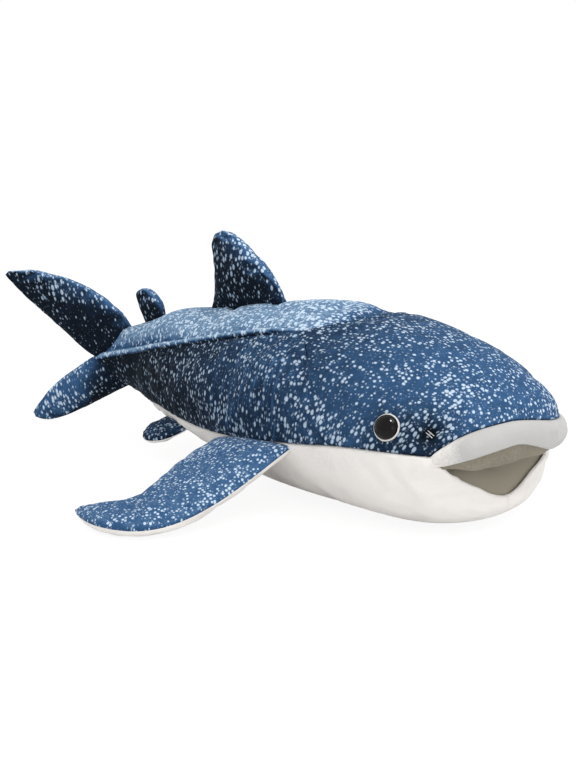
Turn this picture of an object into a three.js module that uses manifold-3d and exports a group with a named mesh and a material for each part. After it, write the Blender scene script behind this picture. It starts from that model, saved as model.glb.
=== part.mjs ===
// A plush whale shark: cloth panels over stuffing, with stuffed fins and a tail that bend on their seams.
// Millimetres. +X runs to the snout, +Y to the shark's left and +Z up. The belly rests on z = 0.
import * as THREE from "three";
import { mergeVertices } from "three/addons/utils/BufferGeometryUtils.js";
import Module from "manifold-3d";

const wasm = await Module();
wasm.setup();

// Body: a long swell that is widest behind the gills and highest at the crest of the back.
const SNOUT_X = 125;
const SNOUT_Z = 62;
const WIDEST_X = 16;
const HALF_WIDTH = 72;
const CREST_X = -20;
const CREST_Z = 111;
const TAIL_X = -214;
const TAIL_HALF_WIDTH = 7;
const TAIL_TOP_Z = 71;
const TAIL_BOTTOM_Z = 27;
const CHIN_X = 36;
const BELLY_REAR_X = -20;
const BELLY_FLAT = 0.5;
const WAIST_SHARE = 0.44;
const SNOUT_POWER = 2.6;
const SNOUT_BLUNTNESS = 0.3;
const SIDE_POWER = 2.1;
const BACK_POWER = 2.1;
const BELLY_POWER = 2.4;

// Cloth and seams.
const CLOTH = 2.4;
const SEAM_GAP = 0.6;
const FILL_CLEARANCE = 1.2;

// The belly seam turns from the back line by this many degrees over the origin, and less towards the mouth.
const BELLY_SEAM_TURN = 94.5;
const BELLY_SEAM_SLOPE = 0.165;

// The back panel: its edges are raised as keels, and its front is a tongue sewn into the head.
const KEEL_FRONT_X = -21;
const KEEL_SHARE = 0.33;
const KEEL_FLARE = 0.00105;
const KEEL_WELT = 4;
const KEEL_FRONT_FADE = 10;
const KEEL_REAR_FADE = 12;
const TONGUE_LENGTH = 36;
const SHOULDER_REACH = 54;

// The mouth, measured by angle in plan from a point inside the head.
const PLAN_X = 40;
const CORNER_TURN = 42;
const CORNER_Z = 46;
const LIP_SEAM_Z = 69.3;
const LIP_SEAM_DROP = 13.5;
const LIP_EDGE_Z = 57;
const RIM_Z = 20;
const LIP_PUFF = 1.5;
const POCKET_DEPTH = 42;
const POCKET_GAP = 1.2;
const FLOOR_PUFF = 3;
const PALATE_PUFF = 1;
const PALATE_HANG = 5;
const LINING_END = 0.88;
const HEAD_SPLIT_X = 58;

// The lower jaw is set back from the upper one between the chin and the mouth's corners.
const JAW_RECESS = 11;
const JAW_TOP_Z = 48;
const JAW_FACE_Z = 36;
const CHIN_Z = 6;
const CHIN_FACE_Z = 28;
const CHIN_RECESS = 1;

// Safety eyes: a dome on a shank that a washer locks behind the cloth, over a thin ring.
const EYE_X = 72;
const EYE_Z = 65;
const EYE_RADIUS = 7;
const EYE_HEIGHT = 5.4;
const EYE_SHANK_RADIUS = 2.5;
const EYE_SHANK_LENGTH = 9;
const EYE_SEAT = 0.6;
const RING_RADIUS = 8;
const RING_THICKNESS = 1.2;
const WASHER_RADIUS = 8;
const WASHER_THICKNESS = 2;
const EYE_CLEARANCE = 0.3;

// Fins: thin at their sewn edges, and round at the root, where they turn in a groove in the body.
const FIN_EDGE = 2;
const ROOT_STAND_OFF = 1.6;
const ROOT_CLEARANCE = 0.9;
const ROOT_OVERRUN = 2;

const PECTORAL_FRONT_X = 5;
const PECTORAL_REAR_X = -69;
const PECTORAL_BELOW_SEAM = 4;
const PECTORAL_ROOT = 4.5;
const PECTORAL_SWELL = 8;
const PECTORAL_SPAN = 90;
const PECTORAL_SWEEP = 89;
const PECTORAL_TIP = 18;
const PECTORAL_REST_Z = 5.8;

const PELVIC_FRONT_X = -119;
const PELVIC_REAR_X = -149;
const PELVIC_BELOW_SEAM = 13;
const PELVIC_ROOT = 3;
const PELVIC_SWELL = 4;
const PELVIC_SPAN = 21;
const PELVIC_SWEEP = 23;
const PELVIC_TIP = 7;
const PELVIC_DROOP = 24;

const DORSAL_FRONT_X = -65;
const DORSAL_REAR_X = -131;
const DORSAL_ROOT = 4.5;
const DORSAL_SWELL = 7;
const DORSAL_SPAN = 37.5;
const DORSAL_SWEEP = 54;
const DORSAL_TIP = 12;

const SECOND_DORSAL_FRONT_X = TAIL_X + 37;
const SECOND_DORSAL_REAR_X = TAIL_X + 16;
const SECOND_DORSAL_ROOT = 3;
const SECOND_DORSAL_SWELL = 4.6;
const SECOND_DORSAL_SPAN = 15.5;
const SECOND_DORSAL_SWEEP = 21;
const SECOND_DORSAL_TIP = 8;

const TAIL_TURN = 35;
const TAIL_ROOT = 5.5;
const TAIL_SWELL = 6.5;
const TAIL_NOTCH = 27;
const UPPER_LOBE_REACH = 82;
const UPPER_LOBE_RISE = 34;
const LOWER_LOBE_REACH = 67;
const LOWER_LOBE_DROP = 28;
const UPPER_LOBE_TIP = 6;
const LOWER_LOBE_TIP = 8;

const BLUE = 0x2d4f7d;
const WHITE = 0xeee9e1;
const LINING = 0xb9b1a4;
const STUFFING = 0xf6f3ec;
const BLACK = 0x0b0b0d;
const RING = 0xdad6ce;

const toTurn = THREE.MathUtils.degToRad;
const CORNER_ANGLE = toTurn(CORNER_TURN);
const lerp = THREE.MathUtils.lerp;
const ramp = (x, from, to) => THREE.MathUtils.clamp((x - from) / (to - from), 0, 1);
const power = (value, exponent) => Math.sign(value) * Math.abs(value) ** exponent;
const rounded = (share, exponent) => (1 - share ** exponent) ** (1 / exponent);
const steps = (count) => Array.from({ length: count + 1 }, (_, i) => i / count);

// Body surface

function section(x) {
  const inside = Math.min(x, SNOUT_X - 0.001);
  const half = inside > WIDEST_X
    ? HALF_WIDTH * (1 - ramp(inside, WIDEST_X, SNOUT_X) ** SNOUT_POWER) ** SNOUT_BLUNTNESS
    : HALF_WIDTH - (HALF_WIDTH - TAIL_HALF_WIDTH) * ramp(inside, WIDEST_X, TAIL_X) ** 1.75;
  const top = inside > CREST_X
    ? SNOUT_Z + (CREST_Z - SNOUT_Z) * rounded(ramp(inside, CREST_X, SNOUT_X), 1.9)
    : CREST_Z - (CREST_Z - TAIL_TOP_Z) * ramp(inside, CREST_X, TAIL_X) ** 1.35;
  const low = -BELLY_FLAT;
  const bottom = inside > BELLY_REAR_X
    ? SNOUT_Z - (SNOUT_Z - low) * rounded(ramp(inside, CHIN_X, SNOUT_X), 3.6)
    : low + (TAIL_BOTTOM_Z - low) * ramp(inside, BELLY_REAR_X, TAIL_X) ** 1.75;
  return { half, top, bottom, waist: lerp(bottom, top, WAIST_SHARE) };
}

// How much shorter the head is at a height than at its upper lip.
function jawShare(z) {
  const set = lerp(CHIN_RECESS, JAW_RECESS, THREE.MathUtils.smoothstep(z, CHIN_Z, CHIN_FACE_Z));
  const below = 1 - THREE.MathUtils.smoothstep(z, JAW_FACE_Z, JAW_TOP_Z);
  return 1 - set * below / (SNOUT_X - HEAD_SPLIT_X);
}

const setBack = (x, z) => (x > HEAD_SPLIT_X ? HEAD_SPLIT_X + (x - HEAD_SPLIT_X) * jawShare(z) : x);
const stationOf = (x, z) => (x > HEAD_SPLIT_X ? HEAD_SPLIT_X + (x - HEAD_SPLIT_X) / jawShare(z) : x);

// Negative inside the body, zero on its skin. The snout ends in a small flat, and ahead of it is outside.
function swelling(p) {
  const station = stationOf(p.x, p.z);
  const s = section(station);
  const rise = p.z - s.waist;
  const reach = rise > 0 ? s.top - s.waist : s.waist - s.bottom;
  const lift = Math.abs(rise / reach) ** (rise > 0 ? BACK_POWER : BELLY_POWER);
  const ahead = 100 * Math.max(station - SNOUT_X, 0);
  return Math.abs(p.y / s.half) ** SIDE_POWER + lift - 1 + ahead;
}

function outward(p) {
  const step = 0.05;
  const slope = (axis) => {
    const ahead = p.clone();
    const behind = p.clone();
    ahead[axis] += step;
    behind[axis] -= step;
    return swelling(ahead) - swelling(behind);
  };
  return new THREE.Vector3(slope("x"), slope("y"), slope("z")).normalize();
}

// A point of the skin: turn runs from the back line down the left side, or the right side where negative.
function skin(x, turn, depth = 0) {
  const s = section(x);
  const rise = Math.cos(turn);
  const z = rise > 0
    ? s.waist + (s.top - s.waist) * power(rise, 2 / BACK_POWER)
    : s.waist + (s.waist - s.bottom) * power(rise, 2 / BELLY_POWER);
  const point = new THREE.Vector3(setBack(x, z), s.half * power(Math.sin(turn), 2 / SIDE_POWER), z);
  return depth === 0 ? point : point.addScaledVector(outward(point), -depth);
}

// The skin at a height, in a direction in plan from the head's inner point.
function faceOf(angle, z, depth = 0) {
  let near = 0;
  let far = HALF_WIDTH + SNOUT_X - PLAN_X;
  const at = (r) => new THREE.Vector3(PLAN_X + r * Math.cos(angle), r * Math.sin(angle), z);
  for (let i = 0; i < 40; i++) {
    const middle = (near + far) / 2;
    if (swelling(at(middle)) < 0) near = middle;
    else far = middle;
  }
  const point = at(near);
  return depth === 0 ? point : point.addScaledVector(outward(point), -depth);
}

function turnOf(p) {
  const s = section(stationOf(p.x, p.z));
  const rise = p.z - s.waist;
  const up = rise > 0
    ? (rise / (s.top - s.waist)) ** (BACK_POWER / 2)
    : -((-rise / (s.waist - s.bottom)) ** (BELLY_POWER / 2));
  return Math.atan2(Math.abs(p.y / s.half) ** (SIDE_POWER / 2), up);
}

function crossing(from, to, height) {
  let near = from;
  let far = to;
  for (let i = 0; i < 40; i++) {
    const middle = (near + far) / 2;
    if (Math.sign(height(middle)) === Math.sign(height(from))) near = middle;
    else far = middle;
  }
  return near;
}

// Seams on the skin

const bellyTurn = (x) => toTurn(BELLY_SEAM_TURN - BELLY_SEAM_SLOPE * x);
const keelShare = (x) => KEEL_SHARE + KEEL_FLARE * Math.max(KEEL_FRONT_X - x, 0);
const tongueX = (share) => KEEL_FRONT_X + TONGUE_LENGTH * (1 - share / KEEL_SHARE) ** (2 / 3);
const shoulderX = (part) => KEEL_FRONT_X + SHOULDER_REACH * part ** 0.6;
const planAngle = (p) => Math.atan2(Math.abs(p.y), p.x - PLAN_X);
const cornerShare = (angle) => Math.abs(angle) / CORNER_ANGLE;
const lipSeamZ = (angle) => LIP_SEAM_Z - LIP_SEAM_DROP * cornerShare(angle) ** 3.5;
const lipEdgeZ = (angle) => LIP_EDGE_Z - (LIP_EDGE_Z - CORNER_Z) * cornerShare(angle) ** 2.6;
const rimZ = (angle) => RIM_Z + (CORNER_Z - RIM_Z) * Math.min(cornerShare(angle), 1) ** 1.3;

// Half a seam gap as a share of the way from the back line to the belly seam.
function gapShare(x) {
  const s = section(x);
  return SEAM_GAP / 2 / (0.8 * (s.half + s.top - s.waist));
}

function lipSeamX(share) {
  return crossing(HEAD_SPLIT_X, SNOUT_X - 0.1, (x) => {
    const p = skin(x, share * bellyTurn(x));
    return p.z - lipSeamZ(planAngle(p));
  });
}

// Closed solids from grids of points

function closed(positions, triangles) {
  let volume = 0;
  const corner = (i) => new THREE.Vector3().fromArray(positions, 3 * i);
  for (let i = 0; i < triangles.length; i += 3) {
    const [a, b, c] = triangles.slice(i, i + 3).map(corner);
    volume += a.dot(b.cross(c));
  }
  const geometry = new THREE.BufferGeometry();
  geometry.setAttribute("position", new THREE.Float32BufferAttribute(positions, 3));
  geometry.setIndex(volume < 0 ? triangles.reverse() : triangles);
  return geometry;
}

// A sheet between two grids of points, closed along its four borders.
function sheet(outer, inner) {
  const rows = outer.length;
  const cols = outer[0].length;
  const positions = [...outer.flat(), ...inner.flat()].flatMap((p) => p.toArray());
  const triangles = [];
  const top = (i, j) => i * cols + j;
  const under = (i, j) => rows * cols + top(i, j);
  const quad = (a, b, c, d) => triangles.push(a, b, c, a, c, d);
  for (let i = 0; i + 1 < rows; i++) {
    for (let j = 0; j + 1 < cols; j++) {
      quad(top(i, j), top(i, j + 1), top(i + 1, j + 1), top(i + 1, j));
      quad(under(i, j), under(i + 1, j), under(i + 1, j + 1), under(i, j + 1));
    }
    quad(top(i, 0), top(i + 1, 0), under(i + 1, 0), under(i, 0));
    quad(top(i + 1, cols - 1), top(i, cols - 1), under(i, cols - 1), under(i + 1, cols - 1));
  }
  for (let j = 0; j + 1 < cols; j++) {
    quad(top(0, j + 1), top(0, j), under(0, j), under(0, j + 1));
    quad(top(rows - 1, j), top(rows - 1, j + 1), under(rows - 1, j + 1), under(rows - 1, j));
  }
  return closed(positions, triangles);
}

// A loft through closed rings of points, with a fan over each end.
function loft(rings) {
  const count = rings[0].length;
  const positions = rings.flat().flatMap((p) => p.toArray());
  const triangles = [];
  rings.slice(1).forEach((_, i) => {
    for (let j = 0; j < count; j++) {
      const next = (j + 1) % count;
      const [a, b, c, d] = [i * count + j, i * count + next, (i + 1) * count + next, (i + 1) * count + j];
      triangles.push(a, b, c, a, c, d);
    }
  });
  const cap = (first, flip) => {
    const ring = rings[first];
    const middle = ring.reduce((sum, p) => sum.add(p), new THREE.Vector3()).divideScalar(count);
    const centre = positions.length / 3;
    positions.push(...middle.toArray());
    for (let j = 0; j < count; j++) {
      const [a, b] = [first * count + j, first * count + (j + 1) % count];
      triangles.push(centre, ...(flip ? [b, a] : [a, b]));
    }
  };
  cap(0, true);
  cap(rings.length - 1, false);
  return closed(positions, triangles);
}

// Cuts and joins

function solid(geometry) {
  const bare = new THREE.BufferGeometry();
  bare.setAttribute("position", geometry.getAttribute("position").clone());
  if (geometry.index) bare.setIndex(geometry.index.clone());
  const welded = mergeVertices(bare, 1e-4);
  const corners = welded.getAttribute("position").array;
  const faces = [];
  for (let i = 0; i < welded.index.count; i += 3) {
    const [a, b, c] = [0, 1, 2].map((k) => welded.index.getX(i + k));
    if (a !== b && b !== c && c !== a) faces.push(a, b, c);
  }
  return new wasm.Manifold(new wasm.Mesh({
    numProp: 3,
    vertProperties: new Float32Array(corners),
    triVerts: new Uint32Array(faces),
  }));
}

function geometryOf(manifold) {
  const mesh = manifold.getMesh();
  const geometry = new THREE.BufferGeometry();
  geometry.setAttribute("position", new THREE.Float32BufferAttribute(mesh.vertProperties, 3));
  geometry.setIndex(Array.from(mesh.triVerts));
  return geometry;
}

function cut(geometry, ...tools) {
  return geometryOf(tools.reduce((left, tool) => left.subtract(solid(tool)), solid(geometry)));
}

function keep(geometry, box) {
  return geometryOf(solid(geometry).intersect(solid(box)));
}

function boxOf(from, to) {
  const size = to.clone().sub(from);
  const middle = from.clone().add(to).divideScalar(2);
  return new THREE.BoxGeometry(...size.toArray()).translate(...middle.toArray());
}

const group = new THREE.Group();
group.name = "plush_whale_shark";

function add(name, geometry, color, roughness = 0.95) {
  const plain = geometry.index ? geometry.toNonIndexed() : geometry;
  plain.computeVertexNormals();
  const mesh = new THREE.Mesh(plain, new THREE.MeshStandardMaterial({ color, roughness, flatShading: true }));
  mesh.name = name;
  group.add(mesh);
}

const mirrored = (geometry) => {
  const flipped = geometry.clone().scale(1, -1, 1);
  const order = Array.from(flipped.index.array).reverse();
  flipped.setIndex(order);
  return flipped;
};

// Fins

// A fin's grid: rows run round the root and out to the tip, columns from the leading to the trailing edge.
function finGrid(middle, root, swell, rowCount, colCount) {
  const shares = steps(colCount);
  const normalAt = (u, v) => {
    const e = 0.01;
    const along = middle(u + e, v).sub(middle(u, v));
    const across = middle(u, Math.min(v + e, 1)).sub(middle(u, Math.max(v - e, 0)));
    return across.cross(along).normalize();
  };
  const crown = (v) => (1 - Math.abs(2 * v - 1) ** 2.5) ** 0.55;
  const halfAt = (u, v) => {
    const full = lerp(root, swell, Math.min(u / 0.35, 1)) * (1 - 0.62 * ramp(u, 0.35, 1) ** 1.6);
    return FIN_EDGE + (full - FIN_EDGE) * crown(v) * (1 - ramp(u, 0.85, 1) ** 3);
  };
  const rows = [];
  for (const round of [18, 52]) {
    rows.push(shares.map((v) => {
      const back = middle(0, v).sub(middle(0.01, v)).normalize();
      const half = halfAt(0, v);
      const place = middle(0, v).addScaledVector(back, half * Math.cos(toTurn(round)));
      return { place, normal: normalAt(0, v), half: half * Math.sin(toTurn(round)) };
    }));
  }
  for (const u of steps(rowCount)) {
    rows.push(shares.map((v) => {
      const normal = normalAt(Math.min(u, 0.98), v);
      return { place: middle(u, v), normal, half: halfAt(u, v) };
    }));
  }
  return rows;
}

// Two cloth faces and the stuffing between them.
function finPieces(middle, root, swell, rowCount, colCount) {
  const rows = finGrid(middle, root, swell, rowCount, colCount);
  const inner = (cell) => Math.max(cell.half - CLOTH, SEAM_GAP / 2);
  const grid = (cells, height) => cells.map((row) => row.map(
    (cell) => cell.place.clone().addScaledVector(cell.normal, height(cell)),
  ));
  const core = rows.slice(1, -1).map((row) => row.slice(1, -1));
  const coreHalf = (cell) => inner(cell) - SEAM_GAP / 4;
  return {
    over: sheet(grid(rows, (cell) => cell.half), grid(rows, inner)),
    under: sheet(grid(rows, (cell) => -cell.half), grid(rows, (cell) => -inner(cell))),
    fill: sheet(grid(core, coreHalf), grid(core, (cell) => -coreHalf(cell))),
  };
}

// Points between a leading and a trailing edge, with the tip rounded off.
function ruled(leading, trailing) {
  return (u, v) => {
    const share = Math.min(u, 1);
    const tip = ramp(u, 0.78, 1.01);
    const width = Math.sqrt(1 - tip * tip);
    const a = leading.getPoint(share);
    const b = trailing.getPoint(share);
    return a.lerp(b, 0.5 + (v - 0.5) * width);
  };
}

// The groove that a fin's round root turns in.
function groove(from, to, radius) {
  const along = to.clone().sub(from);
  const length = along.length() + 2 * ROOT_OVERRUN;
  const rod = new THREE.CylinderGeometry(radius + ROOT_CLEARANCE, radius + ROOT_CLEARANCE, length, 20);
  const up = new THREE.Vector3(0, 1, 0);
  rod.applyQuaternion(new THREE.Quaternion().setFromUnitVectors(up, along.normalize()));
  const middle = from.clone().add(to).divideScalar(2);
  return rod.translate(...middle.toArray());
}

// A fin's edge from its root to its tip, bent towards points given as shares of the fin's sweep and span.
function edge(start, end, size, ...bends) {
  const bent = bends.map((bend) => new THREE.Vector2(...bend).multiply(size).add(start));
  return new THREE.CubicBezierCurve(start, ...bent, end);
}

const offset = (point, x, y) => new THREE.Vector2(point.x + x, point.y + y);
const underSeam = (x, turn) => skin(x, -bellyTurn(x) - toTurn(turn), -ROOT_STAND_OFF);
const onBack = (x) => skin(x, 0, -ROOT_STAND_OFF);

// The pectoral fin lies out and down to the floor; its outline is drawn in plan.
const pectoralRoot = [PECTORAL_FRONT_X, PECTORAL_REAR_X].map((x) => underSeam(x, PECTORAL_BELOW_SEAM));

function pectoralMiddle() {
  const [front, rear] = pectoralRoot;
  const size = new THREE.Vector2(-PECTORAL_SWEEP, -PECTORAL_SPAN);
  const tip = offset(front, size.x, size.y);
  const outline = ruled(
    edge(offset(front, 0, 0), tip, size, [0.15, 0.47], [0.06, 1.24]),
    edge(offset(rear, 0, 0), offset(tip, 0, PECTORAL_TIP), size, [-0.22, 0.51], [-0.16, 0.89]),
  );
  return (u, v) => {
    const plan = outline(u, v);
    const rootZ = lerp(front.z, rear.z, v);
    const rootY = lerp(front.y, rear.y, v);
    const out = ramp(rootY - plan.y, 0, PECTORAL_SPAN);
    return new THREE.Vector3(plan.x, plan.y, PECTORAL_REST_Z + (rootZ - PECTORAL_REST_Z) * (1 - out) ** 1.6);
  };
}

// The pelvic fin hangs out from below the belly seam; its outline is drawn along and out from its root.
const pelvicRoot = [PELVIC_FRONT_X, PELVIC_REAR_X].map((x) => underSeam(x, PELVIC_BELOW_SEAM));

function pelvicMiddle() {
  const [front, rear] = pelvicRoot;
  const along = rear.clone().sub(front).normalize();
  const level = new THREE.Vector3(along.y, -along.x, 0).normalize();
  if (level.y > 0) level.negate();
  const droop = toTurn(PELVIC_DROOP);
  const out = level.multiplyScalar(Math.cos(droop)).add(new THREE.Vector3(0, 0, -Math.sin(droop)));
  out.addScaledVector(along, -out.dot(along)).normalize();
  const size = new THREE.Vector2(PELVIC_SWEEP, PELVIC_SPAN);
  const start = new THREE.Vector2(0, 0);
  const end = new THREE.Vector2(rear.distanceTo(front), 0);
  const outline = ruled(
    edge(start, size, size, [0.04, 0.48], [0.26, 0.92]),
    edge(end, offset(size, PELVIC_TIP, -PELVIC_TIP), size, [0, 0.24], [0, 0.48]),
  );
  return (u, v) => {
    const place = outline(u, v);
    return front.clone().addScaledVector(along, place.x).addScaledVector(out, place.y);
  };
}

// The dorsal fins stand upright on the back line: a swept blade with a hollow rear edge, and a small thumb.
const bladeBends = { leading: [[0.17, 0.4], [0.6, 0.85]], trailing: [[-0.1, 0.4], [-0.05, 0.75]] };
const thumbBends = { leading: [[0.1, 0.5], [0.45, 1]], trailing: [[0.12, 0.3], [0.3, 0.65]] };

function uprightFin(frontX, rearX, sweep, span, tipWidth, bends) {
  const root = [onBack(frontX), onBack(rearX)];
  const [front, rear] = root.map((p) => new THREE.Vector2(p.x, p.z));
  const size = new THREE.Vector2(-sweep, span);
  const tip = front.clone().add(size);
  const outline = ruled(
    edge(front, tip, size, ...bends.leading),
    edge(rear, offset(tip, -tipWidth, -tipWidth / 2), size, ...bends.trailing),
  );
  const middle = (u, v) => {
    const place = outline(u, v);
    return new THREE.Vector3(place.x, 0, place.y);
  };
  return { root, middle };
}

const dorsalFin = uprightFin(
  DORSAL_FRONT_X,
  DORSAL_REAR_X,
  DORSAL_SWEEP,
  DORSAL_SPAN,
  DORSAL_TIP,
  bladeBends,
);
const secondDorsalFin = uprightFin(
  SECOND_DORSAL_FRONT_X,
  SECOND_DORSAL_REAR_X,
  SECOND_DORSAL_SWEEP,
  SECOND_DORSAL_SPAN,
  SECOND_DORSAL_TIP,
  thumbBends,
);

// The tail's lobes lie in one upright plane through the tail seam, turned to the shark's right.
const tailX = TAIL_X - ROOT_STAND_OFF;
const tailTop = new THREE.Vector2(0, TAIL_TOP_Z + ROOT_STAND_OFF);
const tailBottom = new THREE.Vector2(0, TAIL_BOTTOM_Z);
const tailMiddleZ = (tailTop.y + tailBottom.y) / 2;

function inTailPlane(outline) {
  const turn = toTurn(TAIL_TURN);
  return (u, v) => {
    const place = outline(u, v);
    return new THREE.Vector3(tailX - place.x * Math.cos(turn), -place.x * Math.sin(turn), place.y);
  };
}

// The edge along the split between the lobes, then out past the notch to a lobe's tip.
function splitEdge(lift, tip) {
  const split = (out, rise) => new THREE.Vector2(out * TAIL_NOTCH, tailMiddleZ + rise);
  const bend = new THREE.Vector2(lerp(TAIL_NOTCH, tip.x, 0.47), lerp(tailMiddleZ, tip.y, 0.46));
  const start = [split(0, lift), split(0.52, 1.5 * lift - 1), split(1, 4 * lift - 3)];
  return new THREE.SplineCurve([...start, bend, tip]);
}

function upperLobeMiddle() {
  const size = new THREE.Vector2(UPPER_LOBE_REACH, UPPER_LOBE_RISE);
  const tip = tailTop.clone().add(size);
  const leading = edge(tailTop, tip, size, [0.15, 0.6], [0.55, 1.04]);
  return inTailPlane(ruled(leading, splitEdge(SEAM_GAP, offset(tip, UPPER_LOBE_TIP, -UPPER_LOBE_TIP))));
}

function lowerLobeMiddle() {
  const size = new THREE.Vector2(LOWER_LOBE_REACH, -LOWER_LOBE_DROP);
  const tip = tailBottom.clone().add(size);
  const trailing = edge(tailBottom, tip, size, [0.33, 0.4], [0.67, 0.97]);
  return inTailPlane(ruled(splitEdge(-SEAM_GAP, offset(tip, LOWER_LOBE_TIP / 2, LOWER_LOBE_TIP)), trailing));
}

const pectoral = finPieces(pectoralMiddle(), PECTORAL_ROOT, PECTORAL_SWELL, 7, 5);
const pelvic = finPieces(pelvicMiddle(), PELVIC_ROOT, PELVIC_SWELL, 4, 4);
const dorsal = finPieces(dorsalFin.middle, DORSAL_ROOT, DORSAL_SWELL, 5, 4);
const secondDorsal = finPieces(secondDorsalFin.middle, SECOND_DORSAL_ROOT, SECOND_DORSAL_SWELL, 4, 4);
const upperLobe = finPieces(upperLobeMiddle(), TAIL_ROOT, TAIL_SWELL, 6, 4);
const lowerLobe = finPieces(lowerLobeMiddle(), TAIL_ROOT, TAIL_SWELL, 6, 4);

const pectoralGroove = groove(...pectoralRoot, PECTORAL_ROOT);
const pelvicGroove = groove(...pelvicRoot, PELVIC_ROOT);
const dorsalGroove = groove(...dorsalFin.root, DORSAL_ROOT);
const secondDorsalGroove = groove(...secondDorsalFin.root, SECOND_DORSAL_ROOT);
const tailGroove = groove(
  new THREE.Vector3(tailX, 0, tailBottom.y - TAIL_ROOT),
  new THREE.Vector3(tailX, 0, tailTop.y + TAIL_ROOT),
  TAIL_ROOT,
);
const rightGrooves = [pectoralGroove, pelvicGroove];
const sideGrooves = [...rightGrooves, ...rightGrooves.map(mirrored), tailGroove];
const backGrooves = [dorsalGroove, secondDorsalGroove, tailGroove];

// Eyes

const eyePlace = (() => {
  const share = crossing(0.2, 0.9, (part) => skin(EYE_X, part * Math.PI / 2).z - EYE_Z);
  const seat = skin(EYE_X, -share * Math.PI / 2);
  return { seat, turn: new THREE.Quaternion().setFromUnitVectors(new THREE.Vector3(0, 1, 0), outward(seat)) };
})();

function onEye(...profile) {
  const lathe = new THREE.LatheGeometry(profile.map(([r, y]) => new THREE.Vector2(r, y)), 14);
  return lathe.applyQuaternion(eyePlace.turn).translate(...eyePlace.seat.toArray());
}

const ringFloor = EYE_CLEARANCE - EYE_SEAT;
const domeFloor = ringFloor + RING_THICKNESS + EYE_CLEARANCE;
const washerTop = -CLOTH - EYE_SEAT;
const shankHole = EYE_SHANK_RADIUS + EYE_CLEARANCE;
const dome = steps(5).map((s) => {
  const a = s * Math.PI / 2;
  return [EYE_RADIUS * Math.cos(a), domeFloor + 1 + (EYE_HEIGHT - 1) * Math.sin(a)];
});
dome[dome.length - 1][0] = 0;
const eye = onEye(
  [0, domeFloor - EYE_SHANK_LENGTH],
  [EYE_SHANK_RADIUS, domeFloor - EYE_SHANK_LENGTH],
  [EYE_SHANK_RADIUS, domeFloor],
  [EYE_RADIUS, domeFloor],
  ...dome,
);
const ring = onEye(
  [shankHole, ringFloor],
  [RING_RADIUS, ringFloor],
  [RING_RADIUS, ringFloor + RING_THICKNESS / 2],
  [EYE_RADIUS, ringFloor + RING_THICKNESS],
  [shankHole, ringFloor + RING_THICKNESS],
  [shankHole, ringFloor],
);
const washer = onEye(
  [shankHole, washerTop - WASHER_THICKNESS],
  [WASHER_RADIUS, washerTop - WASHER_THICKNESS],
  [WASHER_RADIUS, washerTop],
  [shankHole, washerTop],
  [shankHole, washerTop - WASHER_THICKNESS],
);
const pocketRadius = WASHER_RADIUS + EYE_CLEARANCE;
const pocketFloor = domeFloor - EYE_SHANK_LENGTH - EYE_CLEARANCE;
const eyeBore = onEye(
  [0, pocketFloor],
  [pocketRadius, pocketFloor],
  [pocketRadius, washerTop + EYE_CLEARANCE],
  [shankHole, washerTop + EYE_CLEARANCE],
  [shankHole, -EYE_SEAT],
  [RING_RADIUS + EYE_CLEARANCE, -EYE_SEAT],
  [RING_RADIUS + EYE_CLEARANCE, EYE_HEIGHT],
  [0, EYE_HEIGHT],
);
const eyeBores = [eyeBore, mirrored(eyeBore)];

// Body panels

// A panel of the skin from its places: each has a station along the body, a turn round it and a lift off it.
function panel(places) {
  const grid = (depth) => places.map((row) => row.map(
    ({ x, turn, lift = 0 }) => skin(x, turn, depth === 0 ? -lift : depth),
  ));
  return sheet(grid(0), grid(CLOTH));
}

const shoulderParts = [0, 0.06, 0.16, 0.3, 0.5, 0.75, 1];
const tongueShares = [0.75, 0.5, 0.25, 0.02].map((part) => part * KEEL_SHARE);

function backPanel() {
  const rear = steps(11).map((s) => lerp(TAIL_X, KEEL_FRONT_X, s));
  const edges = [
    ...rear.map((x) => ({ x, edge: keelShare(x) })),
    ...tongueShares.map((share) => ({ x: tongueX(share), edge: share })),
  ];
  const across = [-1, -0.86, -0.6, -0.2, 0.2, 0.6, 0.86, 1];
  const welt = (side) => KEEL_WELT * Math.max(0, 1 - Math.abs(Math.abs(side) - 0.92) / 0.32);
  return panel(edges.map(({ x, edge }) => across.map((side) => {
    const share = side * (edge - gapShare(x));
    const frontFade = ramp(x, tongueX(0), KEEL_FRONT_X - KEEL_FRONT_FADE);
    const rearFade = ramp(x, TAIL_X, TAIL_X + KEEL_REAR_FADE);
    return { x, turn: share * bellyTurn(x), lift: welt(side) * frontFade * rearFade };
  })));
}

function sidePanel() {
  return panel(steps(10).map((s) => shoulderParts.map((part) => {
    const x = lerp(TAIL_X, shoulderX(part) - SEAM_GAP / 2, s);
    const share = lerp(keelShare(x) + gapShare(x), 1 - gapShare(x), part);
    return { x, turn: -share * bellyTurn(x) };
  })));
}

function headPanel() {
  const tongue = [...tongueShares].reverse();
  const shoulder = shoulderParts.map((part) => lerp(KEEL_SHARE, 1, part));
  const half = [...tongue, ...shoulder];
  const shares = [...half.map((share) => -share).reverse(), ...half];
  return panel(shares.map((signed) => {
    const share = Math.abs(signed);
    const part = (share - KEEL_SHARE) / (1 - KEEL_SHARE);
    const rear = part < 0 ? tongueX(share) : shoulderX(part);
    const front = lipSeamX(share);
    return steps(7).map((s) => {
      const x = lerp(rear + SEAM_GAP / 2, front - SEAM_GAP / 2, 1 - (1 - s) ** 1.35);
      return { x, turn: Math.sign(signed) * Math.min(share, 1 - gapShare(x)) * bellyTurn(x) };
    });
  }));
}

const corner = faceOf(CORNER_ANGLE, CORNER_Z);
const bellyPart = (x, turn) => (turn - bellyTurn(x)) / (Math.PI - bellyTurn(x));
const cornerPart = bellyPart(corner.x, turnOf(corner));

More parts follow.
